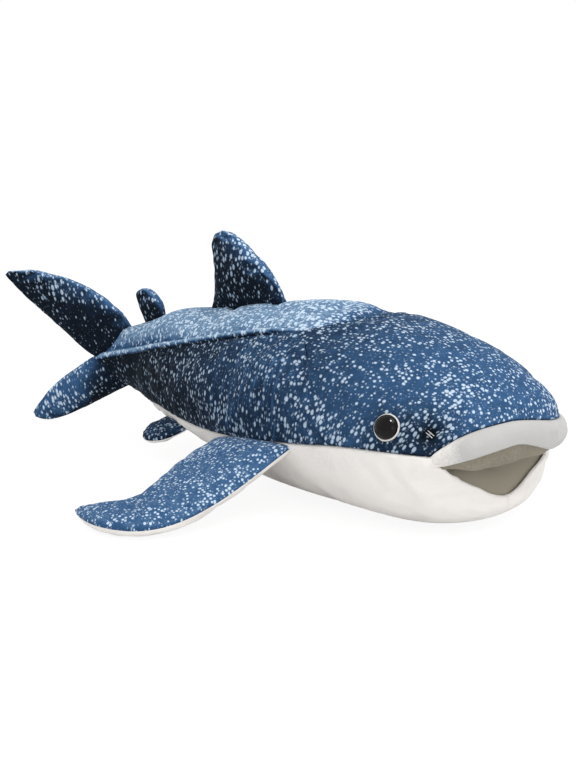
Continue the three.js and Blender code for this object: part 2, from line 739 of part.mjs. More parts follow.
// How far forward the belly cloth reaches: to the lip's end beside the corner, and to the lower jaw's rim.
function bellyFrontX(part) {
  if (part <= cornerPart) return lerp(lipSeamX(1), corner.x, part / cornerPart);
  return crossing(corner.x - 1, SNOUT_X - 0.1, (x) => {
    const p = skin(x, lerp(bellyTurn(x), Math.PI, part));
    return p.z - rimZ(planAngle(p));
  });
}

function bellyPanel() {
  const half = [0, cornerPart, 0.14, 0.22, 0.32, 0.45, 0.58, 0.72, 0.86];
  const parts = [...half.map((part) => [part, -1]), [1, 1], ...[...half].reverse().map((part) => [part, 1])];
  const sheetSolid = panel(parts.map(([part, side]) => {
    const front = bellyFrontX(part) - SEAM_GAP / 2;
    return steps(14).map((s) => {
      const x = lerp(TAIL_X, front, 1 - (1 - s) ** 1.6);
      const turn = lerp(bellyTurn(x), Math.PI, Math.max(part, gapShare(x)));
      return { x, turn: side * turn };
    });
  }));
  const floorCorner = new THREE.Vector3(SNOUT_X, HALF_WIDTH, 0);
  const below = boxOf(new THREE.Vector3(TAIL_X, -HALF_WIDTH, -HALF_WIDTH), floorCorner);
  return cut(sheetSolid, below);
}

// The mouth

// Angles across the mouth, closer together towards its corners.
function mouthAngles(end) {
  const spread = 1.4;
  return steps(14).map((s) => Math.sin((2 * s - 1) * spread) / Math.sin(spread) * CORNER_ANGLE * end);
}

const liningAngles = mouthAngles(LINING_END);

function upperLip() {
  const end = planAngle(skin(lipSeamX(1), bellyTurn(lipSeamX(1))));
  const rows = (depth) => mouthAngles(0.985).map((edge) => steps(3).map((s) => {
    const angle = edge * lerp(1, end / CORNER_ANGLE, s);
    const z = lerp(lipEdgeZ(angle), lipSeamZ(angle) - SEAM_GAP, s);
    return faceOf(angle, z, depth === 0 ? -LIP_PUFF * Math.sin(Math.PI * s) : depth);
  }));
  return sheet(rows(0), rows(CLOTH));
}

const liningShares = [0, 0.08, 0.25, 0.55, 1];

// From just inside a lip to the back of the pocket, where the linings meet. The palate hangs behind its lip.
function liningPath(angle, lip, backZ, puff, hang) {
  const open = Math.max(Math.cos(cornerShare(angle) * Math.PI / 2), 0) ** 0.7;
  const inside = new THREE.Vector3(-Math.cos(angle), -Math.sin(angle), 0);
  const back = faceOf(angle, CORNER_Z, 2 * CLOTH).addScaledVector(inside, POCKET_DEPTH * open).setZ(backZ);
  const swell = puff * open * open;
  return liningShares.map((s) => {
    const p = lip.clone().lerp(back, s);
    return p.setZ(lerp(backZ, lip.z, (1 - s) ** hang) + swell * Math.sin(Math.PI * s));
  });
}

const palatePath = (angle) => {
  const lip = faceOf(angle, lipEdgeZ(angle), CLOTH + 2 * SEAM_GAP).setZ(lipEdgeZ(angle));
  return liningPath(angle, lip, CORNER_Z + POCKET_GAP / 2, -PALATE_PUFF, PALATE_HANG);
};
const floorPath = (angle) => {
  const lip = faceOf(angle, rimZ(angle), 2 * CLOTH + SEAM_GAP);
  const backZ = CORNER_Z - POCKET_GAP / 2;
  return liningPath(angle, lip.setZ(Math.min(lip.z, backZ)), backZ, FLOOR_PUFF, 1);
};
const raised = (path, lift) => path.map((p) => p.clone().setZ(p.z + lift));

function lining(path, thickness) {
  return sheet(liningAngles.map(path), liningAngles.map((angle) => raised(path(angle), thickness)));
}

// The space that the mouth and its linings take out of the stuffing.
function mouthSpace() {
  const room = CLOTH + FILL_CLEARANCE;
  const ends = [-0.97 * CORNER_ANGLE, 0.97 * CORNER_ANGLE];
  return loft([ends[0], ...liningAngles, ends[1]].map((angle) => {
    const over = raised(palatePath(angle), room);
    const under = raised(floorPath(angle), -room);
    const away = new THREE.Vector3(Math.cos(angle), Math.sin(angle), 0);
    const ahead = (p) => p.clone().addScaledVector(away, 4 * room);
    const behind = (p) => p.clone().addScaledVector(away, -room);
    return [ahead(over[0]), ...over, behind(over[4]), behind(under[4]), ...under.reverse(), ahead(under[4])];
  }));
}

// Stuffing

function stuffing() {
  const depth = CLOTH + FILL_CLEARANCE;
  const front = steps(6).map((s) => lerp(HEAD_SPLIT_X, SNOUT_X, Math.sin(s * 0.985 * Math.PI / 2)));
  const rear = steps(11).map((s) => lerp(TAIL_X, HEAD_SPLIT_X, s)).slice(0, -1);
  const oneSide = [0, 22, 44, 62, 76, 86, 94, 102, 112, 128, 145, 162].map(toTurn);
  const around = [...oneSide, Math.PI, ...oneSide.slice(1).reverse().map((turn) => -turn)];
  return loft([...rear, ...front].map((x) => around.map((turn) => skin(x, turn, depth))));
}

const far = 2 * (SNOUT_X - TAIL_X);
const half = SEAM_GAP / 2;
const everything = cut(stuffing(), mouthSpace(), ...eyeBores, ...sideGrooves, ...backGrooves);
const low = new THREE.Vector3(-far, -far, -far);
const high = new THREE.Vector3(far, far, far);
const behindHead = new THREE.Vector3(HEAD_SPLIT_X - half, far, far);
const aboveMouth = new THREE.Vector3(HEAD_SPLIT_X + half, -far, CORNER_Z + half);
const jawRear = new THREE.Vector3(HEAD_SPLIT_X + half, -far, -far);
const belowMouth = new THREE.Vector3(far, far, CORNER_Z - half);
const trunkFill = keep(everything, boxOf(low, behindHead));
const headFill = keep(everything, boxOf(aboveMouth, high));
const jawFill = keep(everything, boxOf(jawRear, belowMouth));

const rightSide = cut(sidePanel(), ...sideGrooves);

add("trunk_fill", trunkFill, STUFFING);
add("head_fill", headFill, STUFFING);
add("jaw_fill", jawFill, STUFFING);
add("back_panel", cut(backPanel(), ...backGrooves), BLUE);
add("right_side_panel", rightSide, BLUE);
add("left_side_panel", mirrored(rightSide), BLUE);
add("head_panel", cut(headPanel(), ...eyeBores), BLUE);
add("belly_panel", cut(bellyPanel(), ...sideGrooves), WHITE);
add("upper_lip", upperLip(), WHITE);
add("palate_lining", lining(palatePath, CLOTH), LINING);
add("jaw_lining", lining(floorPath, -CLOTH), LINING);

for (const [side, place] of [["right", (g) => g], ["left", mirrored]]) {
  add(`${side}_eye`, place(eye), BLACK, 0.1);
  add(`${side}_eye_ring`, place(ring), RING, 0.5);
  add(`${side}_eye_washer`, place(washer), RING, 0.5);
  add(`${side}_pectoral_top`, place(pectoral.over), BLUE);
  add(`${side}_pectoral_under`, place(pectoral.under), WHITE);
  add(`${side}_pectoral_fill`, place(pectoral.fill), STUFFING);
  add(`${side}_pelvic_top`, place(pelvic.over), BLUE);
  add(`${side}_pelvic_under`, place(pelvic.under), WHITE);
  add(`${side}_pelvic_fill`, place(pelvic.fill), STUFFING);
}

for (const [name, pieces] of [
  ["dorsal", dorsal],
  ["second_dorsal", secondDorsal],
  ["upper_lobe", upperLobe],
  ["lower_lobe", lowerLobe],
]) {
  add(`${name}_left`, pieces.over, BLUE);
  add(`${name}_right`, pieces.under, BLUE);
  add(`${name}_fill`, pieces.fill, STUFFING);
}

export default group;
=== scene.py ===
# %% [markdown]
# A stuffed whale shark is sewn from flat plush panels and filled until the cloth is tight. This lesson
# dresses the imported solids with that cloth. Each panel of the pattern becomes a piece of its own, so its
# seams lie where a maker would sew them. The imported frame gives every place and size, in metres.

# %% Load the frame
import math

import bmesh
import bpy
import numpy as np
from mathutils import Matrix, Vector
from mathutils.kdtree import KDTree


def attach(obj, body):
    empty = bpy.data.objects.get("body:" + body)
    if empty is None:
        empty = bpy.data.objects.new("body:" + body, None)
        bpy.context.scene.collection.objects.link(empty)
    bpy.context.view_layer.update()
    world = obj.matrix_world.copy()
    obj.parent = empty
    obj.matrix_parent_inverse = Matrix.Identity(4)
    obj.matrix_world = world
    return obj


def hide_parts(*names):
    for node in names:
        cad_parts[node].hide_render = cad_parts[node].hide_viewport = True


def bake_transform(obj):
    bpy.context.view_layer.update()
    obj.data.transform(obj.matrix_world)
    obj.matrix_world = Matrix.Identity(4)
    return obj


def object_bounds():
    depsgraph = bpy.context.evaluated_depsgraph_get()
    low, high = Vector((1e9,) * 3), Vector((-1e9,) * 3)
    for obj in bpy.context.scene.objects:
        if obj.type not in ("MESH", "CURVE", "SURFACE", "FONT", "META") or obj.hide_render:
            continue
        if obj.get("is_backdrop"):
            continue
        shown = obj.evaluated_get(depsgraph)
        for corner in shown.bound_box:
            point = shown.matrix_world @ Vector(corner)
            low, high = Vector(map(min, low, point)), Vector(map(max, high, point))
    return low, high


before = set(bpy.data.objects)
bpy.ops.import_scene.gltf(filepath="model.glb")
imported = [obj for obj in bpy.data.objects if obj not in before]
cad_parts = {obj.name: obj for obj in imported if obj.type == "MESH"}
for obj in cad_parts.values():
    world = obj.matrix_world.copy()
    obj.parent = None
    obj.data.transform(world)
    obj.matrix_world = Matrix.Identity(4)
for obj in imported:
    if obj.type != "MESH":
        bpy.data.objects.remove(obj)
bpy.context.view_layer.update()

MM = 0.001

# %% [markdown]
# The body has no flat side, so it is a formula and not a box that is pushed into shape. At each station
# along its length it has a half width, a top line and a bottom line, and its section is a soft oval
# between them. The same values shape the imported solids, so cloth and solid agree. Sizes here are in
# millimetres until a mesh is made.

# %% Sizes of the body
SNOUT_X = 125.0
SNOUT_Z = 62.0
WIDEST_X = 16.0
HALF_WIDTH = 72.0
CREST_X = -20.0
CREST_Z = 111.0
TAIL_X = -214.0
TAIL_HALF_WIDTH = 7.0
TAIL_TOP_Z = 71.0
TAIL_BOTTOM_Z = 27.0
CHIN_X = 36.0
BELLY_REAR_X = -20.0
BELLY_Z = -0.5
WAIST_SHARE = 0.44
SNOUT_POWER = 2.6
SNOUT_BLUNTNESS = 0.3
WIDTH_TAPER = 1.75
HEAD_ARCH = 1.9
BACK_TAPER = 1.35
CHIN_ARCH = 3.6
BELLY_TAPER = 1.75
SIDE_POWER = 2.1
BACK_POWER = 2.1
BELLY_POWER = 2.4
HEAD_X = 58.0
JAW_RECESS = 11.0
JAW_TOP_Z = 48.0
JAW_FACE_Z = 36.0
CHIN_Z = 6.0
CHIN_FACE_Z = 28.0
CHIN_RECESS = 1.0


def ramp(value, start, end):
    return np.clip((np.asarray(value, float) - start) / (end - start), 0, 1)


def ease(value, start, end):
    share = ramp(value, start, end)
    return share * share * (3 - 2 * share)


def rounded(share, power):
    return (1 - share**power) ** (1 / power)


def blend_of(a, b, share):
    return a + (b - a) * share


def ridge(value, middle, width):
    """A smooth rise to 1 at a middle value, which fades to 0 over a few widths."""
    return np.exp(-(((value - middle) / width) ** 2))


def section(x):
    """Half width, top, bottom and widest height of the body at a station along its length."""
    x = np.minimum(x, SNOUT_X - 0.001)
    half = np.where(
        x > WIDEST_X,
        HALF_WIDTH * (1 - ramp(x, WIDEST_X, SNOUT_X) ** SNOUT_POWER) ** SNOUT_BLUNTNESS,
        HALF_WIDTH - (HALF_WIDTH - TAIL_HALF_WIDTH) * ramp(x, WIDEST_X, TAIL_X) ** WIDTH_TAPER,
    )
    top = np.where(
        x > CREST_X,
        SNOUT_Z + (CREST_Z - SNOUT_Z) * rounded(ramp(x, CREST_X, SNOUT_X), HEAD_ARCH),
        CREST_Z - (CREST_Z - TAIL_TOP_Z) * ramp(x, CREST_X, TAIL_X) ** BACK_TAPER,
    )
    bottom = np.where(
        x > BELLY_REAR_X,
        SNOUT_Z - (SNOUT_Z - BELLY_Z) * rounded(ramp(x, CHIN_X, SNOUT_X), CHIN_ARCH),
        BELLY_Z + (TAIL_BOTTOM_Z - BELLY_Z) * ramp(x, BELLY_REAR_X, TAIL_X) ** BELLY_TAPER,
    )
    return half, top, bottom, blend_of(bottom, top, WAIST_SHARE)


print("body", SNOUT_X - TAIL_X, "mm long and", 2 * HALF_WIDTH, "mm wide")


# %% The skin as a formula
BEYOND_SNOUT = 100


def jaw_share(z):
    """How much shorter the head is at a height than at its upper lip."""
    recess = blend_of(CHIN_RECESS, JAW_RECESS, ease(z, CHIN_Z, CHIN_FACE_Z))
    return 1 - recess * (1 - ease(z, JAW_FACE_Z, JAW_TOP_Z)) / (SNOUT_X - HEAD_X)


def set_back(x, z):
    return np.where(x > HEAD_X, HEAD_X + (x - HEAD_X) * jaw_share(z), x)


def station_of(x, z):
    return np.where(x > HEAD_X, HEAD_X + (x - HEAD_X) / jaw_share(z), x)


def swelling(p):
    """Negative inside the body and zero on its skin. Ahead of the snout's small flat is outside."""
    station = station_of(p[..., 0], p[..., 2])
    half, top, bottom, waist = section(station)
    rise = p[..., 2] - waist
    up = np.abs(rise / (top - waist)) ** BACK_POWER
    down = np.abs(rise / (waist - bottom)) ** BELLY_POWER
    ahead = BEYOND_SNOUT * np.maximum(station - SNOUT_X, 0)
    return np.abs(p[..., 1] / half) ** SIDE_POWER + np.where(rise > 0, up, down) - 1 + ahead


def unit(v):
    return v / np.maximum(np.linalg.norm(v, axis=-1, keepdims=True), 1e-12)


def outward(p):
    step = 0.05 * np.eye(3)
    return unit(np.stack([swelling(p + axis) - swelling(p - axis) for axis in step], -1))


def signed_power(value, power):
    return np.sign(value) * np.abs(value) ** power


def skin(x, turn):
    """A point of the skin. Turn runs from the back line down the left side, or the right where negative."""
    half, top, bottom, waist = section(x)
    rise = np.cos(turn)
    up = waist + (top - waist) * np.abs(rise) ** (2 / BACK_POWER)
    down = waist - (waist - bottom) * np.abs(rise) ** (2 / BELLY_POWER)
    z = np.where(rise > 0, up, down)
    return np.stack([set_back(x, z), half * signed_power(np.sin(turn), 2 / SIDE_POWER), z], -1)


print("top of the crest", skin(np.array(CREST_X), np.array(0.0)).round(1))


# %% Where the skin lies in a direction
def crossing(low, high, height):
    """Where a height changes sign between two ends, for many pairs of ends at once."""
    low, high = np.broadcast_arrays(np.asarray(low, float), np.asarray(high, float))
    low, high = low.copy(), high.copy()
    first = np.sign(height(low))
    for _ in range(40):
        middle = (low + high) / 2
        same = np.sign(height(middle)) == first
        low = np.where(same, middle, low)
        high = np.where(same, high, middle)
    return low


PLAN_X = 40.0


def face_of(angle, z):
    """The skin at a height, in a direction in plan from a point inside the head."""
    def at(reach):
        return np.stack([PLAN_X + reach * np.cos(angle), reach * np.sin(angle), z + 0 * reach], -1)

    nearest = 0 * (angle + z)
    farthest = HALF_WIDTH + SNOUT_X - PLAN_X + nearest
    return at(crossing(nearest, farthest, lambda reach: swelling(at(reach))))


print("tip of the snout", face_of(np.array(0.0), np.array(SNOUT_Z)).round(1))


# %% [markdown]
# Seams come next, because they divide the skin into panels. The belly seam runs along each flank to the
# corner of the mouth. The keel is the edge of the back panel, the shoulder seam joins flank and head, and
# the lip seam closes the head at the front.

# %% Seams of the body
BELLY_SEAM_TURN = 94.5
BELLY_SEAM_SLOPE = 0.165
KEEL_FRONT_X = -21.0
KEEL_SHARE = 0.33
KEEL_FLARE = 0.00105
KEEL_NARROWING = 0.0005
TONGUE_LENGTH = 36.0
TONGUE_POWER = 2 / 3
SHOULDER_REACH = 54.0
SHOULDER_POWER = 0.6
STALK_SEAM_TURN = 34.0
STALK_SEAM_START = 150.0
STALK_SEAM_END = 212.0


def towards_stalk(x):
    """0 on the body, rising to 1 at the tail, where the seams turn under the stalk."""
    return ease(-x, STALK_SEAM_START, STALK_SEAM_END)


def belly_turn(x):
    """How far round from the back line the belly seam lies."""
    return np.radians(BELLY_SEAM_TURN - BELLY_SEAM_SLOPE * x + STALK_SEAM_TURN * towards_stalk(x))


def keel_share(x):
    """Where a keel lies, as a share of the way from the back line to the belly seam."""
    flare = KEEL_FLARE - KEEL_NARROWING * towards_stalk(x)
    return KEEL_SHARE + flare * np.maximum(KEEL_FRONT_X - x, 0)


def tongue_x(share):
    return KEEL_FRONT_X + TONGUE_LENGTH * np.maximum(1 - share / KEEL_SHARE, 0) ** TONGUE_POWER


def shoulder_x(part):
    return KEEL_FRONT_X + SHOULDER_REACH * part**SHOULDER_POWER


print("keels end", round(float(keel_share(TAIL_X)), 2), "of the way down to the belly seam")

# %% Seams of the mouth
CORNER_ANGLE = math.radians(42)
CORNER_Z = 46.0
LIP_SEAM_Z = 69.3
LIP_SEAM_DROP = 13.5
LIP_SEAM_POWER = 3.5
LIP_EDGE_Z = 57.0
LIP_EDGE_POWER = 2.6
SAG_START = math.radians(-12)
SAG_FULL = math.radians(20)
SAG_END = math.radians(24)
SEAM_SAG = 7.0
EDGE_SAG = 11.0
RIM_Z = 20.0
RIM_POWER = 1.5
RIM_DIP = 1.6
RIM_DIP_SHARE = 0.86
RIM_DIP_WIDTH = 0.08


def plan_angle(p):
    return np.arctan2(p[..., 1], p[..., 0] - PLAN_X)


def corner_share(angle):
    return np.abs(angle) / CORNER_ANGLE


def lip_sag(angle, deep):
    """The photographed lip hangs lower on its left side than on its right."""
    return deep * ease(angle, SAG_START, SAG_FULL) * (1 - ease(angle, SAG_END, CORNER_ANGLE))


def lip_seam_z(angle):
    return LIP_SEAM_Z - LIP_SEAM_DROP * corner_share(angle) ** LIP_SEAM_POWER - lip_sag(angle, SEAM_SAG)


def lip_edge_z(angle):
    even = LIP_EDGE_Z - (LIP_EDGE_Z - CORNER_Z) * corner_share(angle) ** LIP_EDGE_POWER
    return np.maximum(even - lip_sag(angle, EDGE_SAG), CORNER_Z)


def rim_z(angle):
    """The lower jaw's rim rises to the corners of the mouth, with a low place just before each."""
    share = np.minimum(corner_share(angle), 1)
    rise = (CORNER_Z - RIM_Z) * share**RIM_POWER
    return RIM_Z + rise - RIM_DIP * ridge(share, RIM_DIP_SHARE, RIM_DIP_WIDTH)


def lip_seam_x(share):
    def above(x):
        p = skin(x, share * belly_turn(x))
        return p[..., 2] - lip_seam_z(plan_angle(p))

    return crossing(HEAD_X + 0 * share, SNOUT_X - 0.1, above)


corner = face_of(np.array(CORNER_ANGLE), np.array(CORNER_Z))
print("left corner of the mouth", corner.round(1))


# %% Where the belly cloth ends
def turn_of(p):
    half, top, bottom, waist = section(station_of(p[..., 0], p[..., 2]))
    rise = p[..., 2] - waist
    up = np.abs(rise / (top - waist)) ** (BACK_POWER / 2)
    down = -np.abs(rise / (waist - bottom)) ** (BELLY_POWER / 2)
    return np.arctan2(np.abs(p[..., 1] / half) ** (SIDE_POWER / 2), np.where(rise > 0, up, down))


corner_part = float((turn_of(corner) - belly_turn(corner[0])) / (np.pi - belly_turn(corner[0])))


def belly_front_x(part):
    """How far forward the belly cloth reaches: to the lip's end beside the corner, or to the jaw's rim."""
    def above(x):
        p = skin(x, blend_of(belly_turn(x), np.pi, part))
        return p[..., 2] - rim_z(plan_angle(p))

    beside = blend_of(lip_seam_x(np.array(1.0)), corner[0], part / corner_part)
    return np.where(part <= corner_part, beside, crossing(corner[0] - 1 + 0 * part, SNOUT_X - 0.1, above))


print("belly cloth reaches x =", belly_front_x(np.array([1.0])).round(1), "under the chin")


# %% Seam lines as points
def seam_lines():
    """Points along every seam of the body, on both sides."""
    t = np.linspace(0, 1, 160)
    rear = blend_of(TAIL_X, KEEL_FRONT_X, t)
    shares = t * KEEL_SHARE
    along = blend_of(TAIL_X, float(lip_seam_x(np.array(1.0))), t)
    angles = (2 * t - 1) * CORNER_ANGLE
    lines = [
        skin(rear, -keel_share(rear) * belly_turn(rear)),
        skin(tongue_x(shares), -shares * belly_turn(tongue_x(shares))),
        skin(along, -belly_turn(along)),
    ]
    mouth = [face_of(angles, height(angles)) for height in (lip_seam_z, lip_edge_z, rim_z)]
    right = np.concatenate(lines)
    return np.concatenate([right, right * [1, -1, 1], *mouth])


seams = seam_lines()
print("seam points", len(seams))

# %% [markdown]
# The photographed toy is filled tightly, so its panels swell between the seams, which stay drawn in.
# Cloth under pressure does the same. A closed copy of the skin, a little inside it, is held along the
# seams, at the eyes and at the nostril tucks. The rest of it grows by a few per cent and is blown up for
# a few frames. Only the movement square to the skin is kept, and it can then be read back at any point.

# %% Tools for meshes
def mesh_object(name, points, faces, prints=None):
    """A smooth mesh from millimetres. Prints is each point's place on the flat cloth, kept as a UV map."""
    mesh = bpy.data.meshes.new(name)
    mesh.from_pydata((np.asarray(points, float).reshape(-1, 3) * MM).tolist(), [], faces)
    mesh.polygons.foreach_set("use_smooth", [True] * len(mesh.polygons))
    if prints is not None:
        corners = np.empty(len(mesh.loops), np.int32)
        mesh.loops.foreach_get("vertex_index", corners)
        layer = mesh.uv_layers.new(name="print")
        places = np.asarray(prints).reshape(-1, 2)[corners] * MM
        layer.data.foreach_set("uv", places.astype(np.float32).ravel())
    mesh.update()
    made = bpy.data.objects.new(name, mesh)
    bpy.context.scene.collection.objects.link(made)
    return made


def points_of(mesh):
    places = np.empty(3 * len(mesh.vertices), np.float32)
    mesh.vertices.foreach_get("co", places)
    return places.reshape(-1, 3).astype(float) / MM


def grid_faces(rows, cols, wrap=False):
    last = cols if wrap else cols - 1
    index = np.arange(rows * cols).reshape(rows, cols)
    nxt = np.roll(index, -1, 1)
    quads = np.stack([index[:-1], nxt[:-1], nxt[1:], index[1:]], -1)[:, :last]
    return quads.reshape(-1, 4).tolist()


def tree_of(points):
    tree = KDTree(len(points))
    for i, p in enumerate(points):
        tree.insert(p, i)
    tree.balance()
    return tree


def distance_to(tree, points):
    return np.array([tree.find(p)[2] for p in points])


print("a ring of 8 points over another makes", len(grid_faces(2, 8, wrap=True)), "faces")


# %% Cloth under pressure
def blow_up(shell, held, pressure, growth, frames, bending):
    """Cloth under pressure, held where the weights are 1. Returns each point's movement in millimetres."""
    group = shell.vertex_groups.new(name="held")
    for i, weight in enumerate(held):
        group.add([i], float(weight), "REPLACE")
    cloth = shell.modifiers.new("stuffing", "CLOTH")
    use = cloth.settings
    use.quality = 5
    use.mass = 0.2
    use.tension_stiffness = 20
    use.compression_stiffness = 20
    use.shear_stiffness = 8
    use.bending_stiffness = bending
    use.use_pressure = True
    use.uniform_pressure_force = pressure
    use.vertex_group_mass = "held"
    use.vertex_group_shrink = "held"
    use.shrink_min = -growth
    use.shrink_max = 0
    use.effector_weights.gravity = 0
    cloth.collision_settings.use_collision = False
    cloth.point_cache.frame_start = 1
    cloth.point_cache.frame_end = frames
    rest = points_of(shell.data)
    for step in range(1, frames + 1):
        bpy.context.scene.frame_set(step)
    swollen = shell.evaluated_get(bpy.context.evaluated_depsgraph_get())
    moved = points_of(swollen.data) - rest
    shell.modifiers.remove(cloth)
    bpy.context.scene.frame_set(1)
    return moved


def capped(moved, most):
    length = np.linalg.norm(moved, axis=-1, keepdims=True)
    return moved * np.minimum(1, most / np.maximum(length, 1e-9))


# %% Where the eyes and the tucks pull
EYE_X = 72.0
EYE_Z = 65.0
NOSTRIL_X = 95.0
NOSTRIL_Z = 64.5


def on_side(x, z):
    turn = crossing(np.array(0.2), np.array(np.pi / 2), lambda t: skin(np.array(x), t)[..., 2] - z)
    return skin(np.array(x), -turn)


eye_seat = on_side(EYE_X, EYE_Z)
nostril = on_side(NOSTRIL_X, NOSTRIL_Z)
sockets = np.array([eye_seat, eye_seat * [1, -1, 1]])
tucks = np.array([nostril, nostril * [1, -1, 1]])
print("eye seat", eye_seat.round(1), "nostril tuck", nostril.round(1))

# %% Blow up the body
SKIN_SINK = 1.7
BODY_CAP = 3.4
BODY_SINK = 0.6
SEAM_HELD = 1.8
SEAM_FREE = 5.5
EYE_HELD = 7.5
TUCK_HELD = 2.0
PULL_FADE = 3.0
PRESSURE = 15.0
BODY_GROWTH = 0.03
BODY_FRAMES = 20
BODY_BENDING = 0.4


def body_shell():
    rear = np.linspace(TAIL_X, HEAD_X, 72)[:-1]
    front = HEAD_X + (SNOUT_X - HEAD_X) * np.sin(np.linspace(0, 0.985, 26) * np.pi / 2)
    stations = np.concatenate([rear, front])
    turns = np.linspace(-np.pi, np.pi, 105)[:-1]
    x, turn = np.meshgrid(stations, turns, indexing="ij")
    p = skin(x, turn)
    p = p - SKIN_SINK * outward(p)
    rows, cols = x.shape
    faces = [face[::-1] for face in grid_faces(rows, cols, wrap=True)]
    faces.append(list(range(cols)))
    faces.append(list(range(rows * cols - 1, (rows - 1) * cols - 1, -1)))
    return p.reshape(-1, 3), faces


shell_points, shell_faces = body_shell()
seam_tree = tree_of(seams)
near_seam = distance_to(seam_tree, shell_points)
held = 1 - ease(near_seam, SEAM_HELD, SEAM_FREE)
for places, reach in ((sockets, EYE_HELD), (tucks, TUCK_HELD)):
    for place in places:
        away = np.linalg.norm(shell_points - place, axis=1)
        held = np.maximum(held, 1 - ease(away, reach, reach + PULL_FADE))
normals = outward(shell_points)
shell = mesh_object("body_shell", shell_points, shell_faces)
moved = blow_up(shell, held, PRESSURE, BODY_GROWTH, BODY_FRAMES, BODY_BENDING)
# The toy's weight presses its underside flat, most of all under the jaw, so that part swells less.
low = 1 - ease(shell_points[:, 2], 14, 46)
jaw = ease(shell_points[:, 0], 70, 95)
most = blend_of(BODY_CAP, SKIN_SINK, low * (0.5 + 0.5 * jaw))
swell = np.clip((moved * normals).sum(1), -BODY_SINK, most)[:, None] * normals
bpy.data.objects.remove(shell)
print("body swells by up to", np.linalg.norm(swell, axis=1).max().round(2), "mm")
shell_tree = tree_of(shell_points)


# %% The swollen skin
NEIGHBOURS = 5
NEAREST_SQUARED = 0.5


def cushioned(p):
    """A point of the skin after the stuffing has swollen it."""
    flat = p.reshape(-1, 3)
    inner = flat - SKIN_SINK * outward(flat)
    moved = np.empty_like(inner)
    for i, place in enumerate(inner):
        near = shell_tree.find_n(place, NEIGHBOURS)
        weights = np.array([1 / (n[2] ** 2 + NEAREST_SQUARED) for n in near])
        moved[i] = weights @ swell[[n[1] for n in near]] / weights.sum()
    return (inner + moved).reshape(p.shape)


print("crest after stuffing", cushioned(skin(np.array([CREST_X]), np.array([0.0])))[0].round(1))

# %% [markdown]
# A panel is a grid of points between its seams. Its edges turn down into the seam, with small gathers
# beside it where the thread pulls the cloth, and it has a cloth's thickness. Rows are set closer together
# beside the seams, so the rounded edge has enough faces.

# %% Spacing and edges of a panel
GRAIN = 2.3
SEAM_STEPS = (0.3, 0.7, 1.2, 1.8)
CLOSEST = 0.25
SEAM_ROUND = 2.2


def spaced(length, step=GRAIN, start=True, end=True, close=SEAM_STEPS):
    """Shares from 0 to 1 about one step apart, with closer ones beside the ends that are seams."""
    shares = list(np.linspace(0, 1, max(int(round(length / step)), 4) + 1))
    beside = [d / length for d in close]
    if start:
        shares += beside
    if end:
        shares += [1 - d for d in beside]
    shares = np.unique(np.round(shares, 6))
    kept = [shares[0]]
    for share in shares[1:-1]:
        if share - kept[-1] > CLOSEST / length and 1 - share > CLOSEST / length:
            kept.append(share)
    return np.array(kept + [1.0])


def edge_distances(p):
    """Distances along the grid from its four borders: first row, last row, first column, last column."""
    found = []
    for axis in (0, 1):
        step = np.linalg.norm(np.diff(p, axis=axis), axis=-1)
        zero = np.zeros_like(np.take(step, [0], axis))
        ahead = np.concatenate([zero, np.cumsum(step, axis)], axis)
        found += [ahead, np.take(ahead, [-1], axis) - ahead]
    return found


def grid_normals(p):
    return unit(np.cross(np.gradient(p, axis=0), np.gradient(p, axis=1)))


def round_over(distance, radius):
    inside = radius - np.minimum(distance, radius)
    return radius - np.sqrt(np.maximum(radius**2 - inside**2, 0))


print("steps across 20 mm of cloth", (20 * spaced(20)).round(1))


# %% Gathers and curves
def gathers(along, away, seed, size=0.45, length=7.0, reach=6.0):
    """Small folds square to a seam: along runs with the seam, away is the distance from it."""
    random = np.random.default_rng(seed)
    wave = np.zeros_like(along)
    for k in range(4):
        pitch = length * random.uniform(0.6, 1.9)
        wave += np.sin(2 * np.pi * along / pitch + random.uniform(0, 6.3) + 0.15 * away * (-1) ** k)
    return size / 2 * wave * np.exp(-away / reach) * (1 - np.exp(-away / 0.8))


def bezier(start, first, second, end, u):
    u = np.asarray(u, float)[..., None]
    return (1 - u) ** 3 * start + 3 * u * (1 - u) ** 2 * first + 3 * u**2 * (1 - u) * second + u**3 * end


print("middle of a curve", bezier(np.zeros(2), np.array([0, 1]), np.array([1, 1]), np.array([1, 0]), 0.5))

# %% The tail's stalk
STALK_LENGTH = 22.0
STALK_DROP = 8.0
STALK_FROM = 36.0
STALK_Z = 53.0
STALK_ABOVE = 18.5
STALK_BELOW = 26.0
STALK_SLIMMING = 0.5
TAIL_TURN = math.radians(35)
tail_way = np.array([-math.cos(TAIL_TURN), -math.sin(TAIL_TURN), 0])


def stalk(p):
    """Draws the end of the body out to the notch of the tail, in the plane that the tail is set in."""
    x, z = p[..., 0], p[..., 2]
    reach = np.where(z < STALK_Z, STALK_BELOW, STALK_ABOVE)
    level = np.maximum(1 - np.abs(z - STALK_Z) / reach, 0) ** 0.9
    share = ramp(x, TAIL_X + STALK_FROM, TAIL_X) ** 1.7 * level
    slim = p * np.stack([np.ones_like(share), 1 - STALK_SLIMMING * share, np.ones_like(share)], -1)
    return slim + share[..., None] * (STALK_LENGTH * tail_way - [0, 0, STALK_DROP])


print("the tail is turned by", round(math.degrees(TAIL_TURN)), "degrees")

# %% Closed sheets of cloth
CLOTH = 1.1
WELD = 0.02
SHARP = math.radians(50)


def panel_solid(name, outer, along, across, shade=None):
    """A closed sheet: the outer grid, the same grid further in, and a border round both."""
    normals = grid_normals(outer)
    normals = normals * np.sign((normals * outward(outer)).sum())
    return closed_sheet(name, outer, outer - CLOTH * normals, np.stack([along, across], -1), shade)


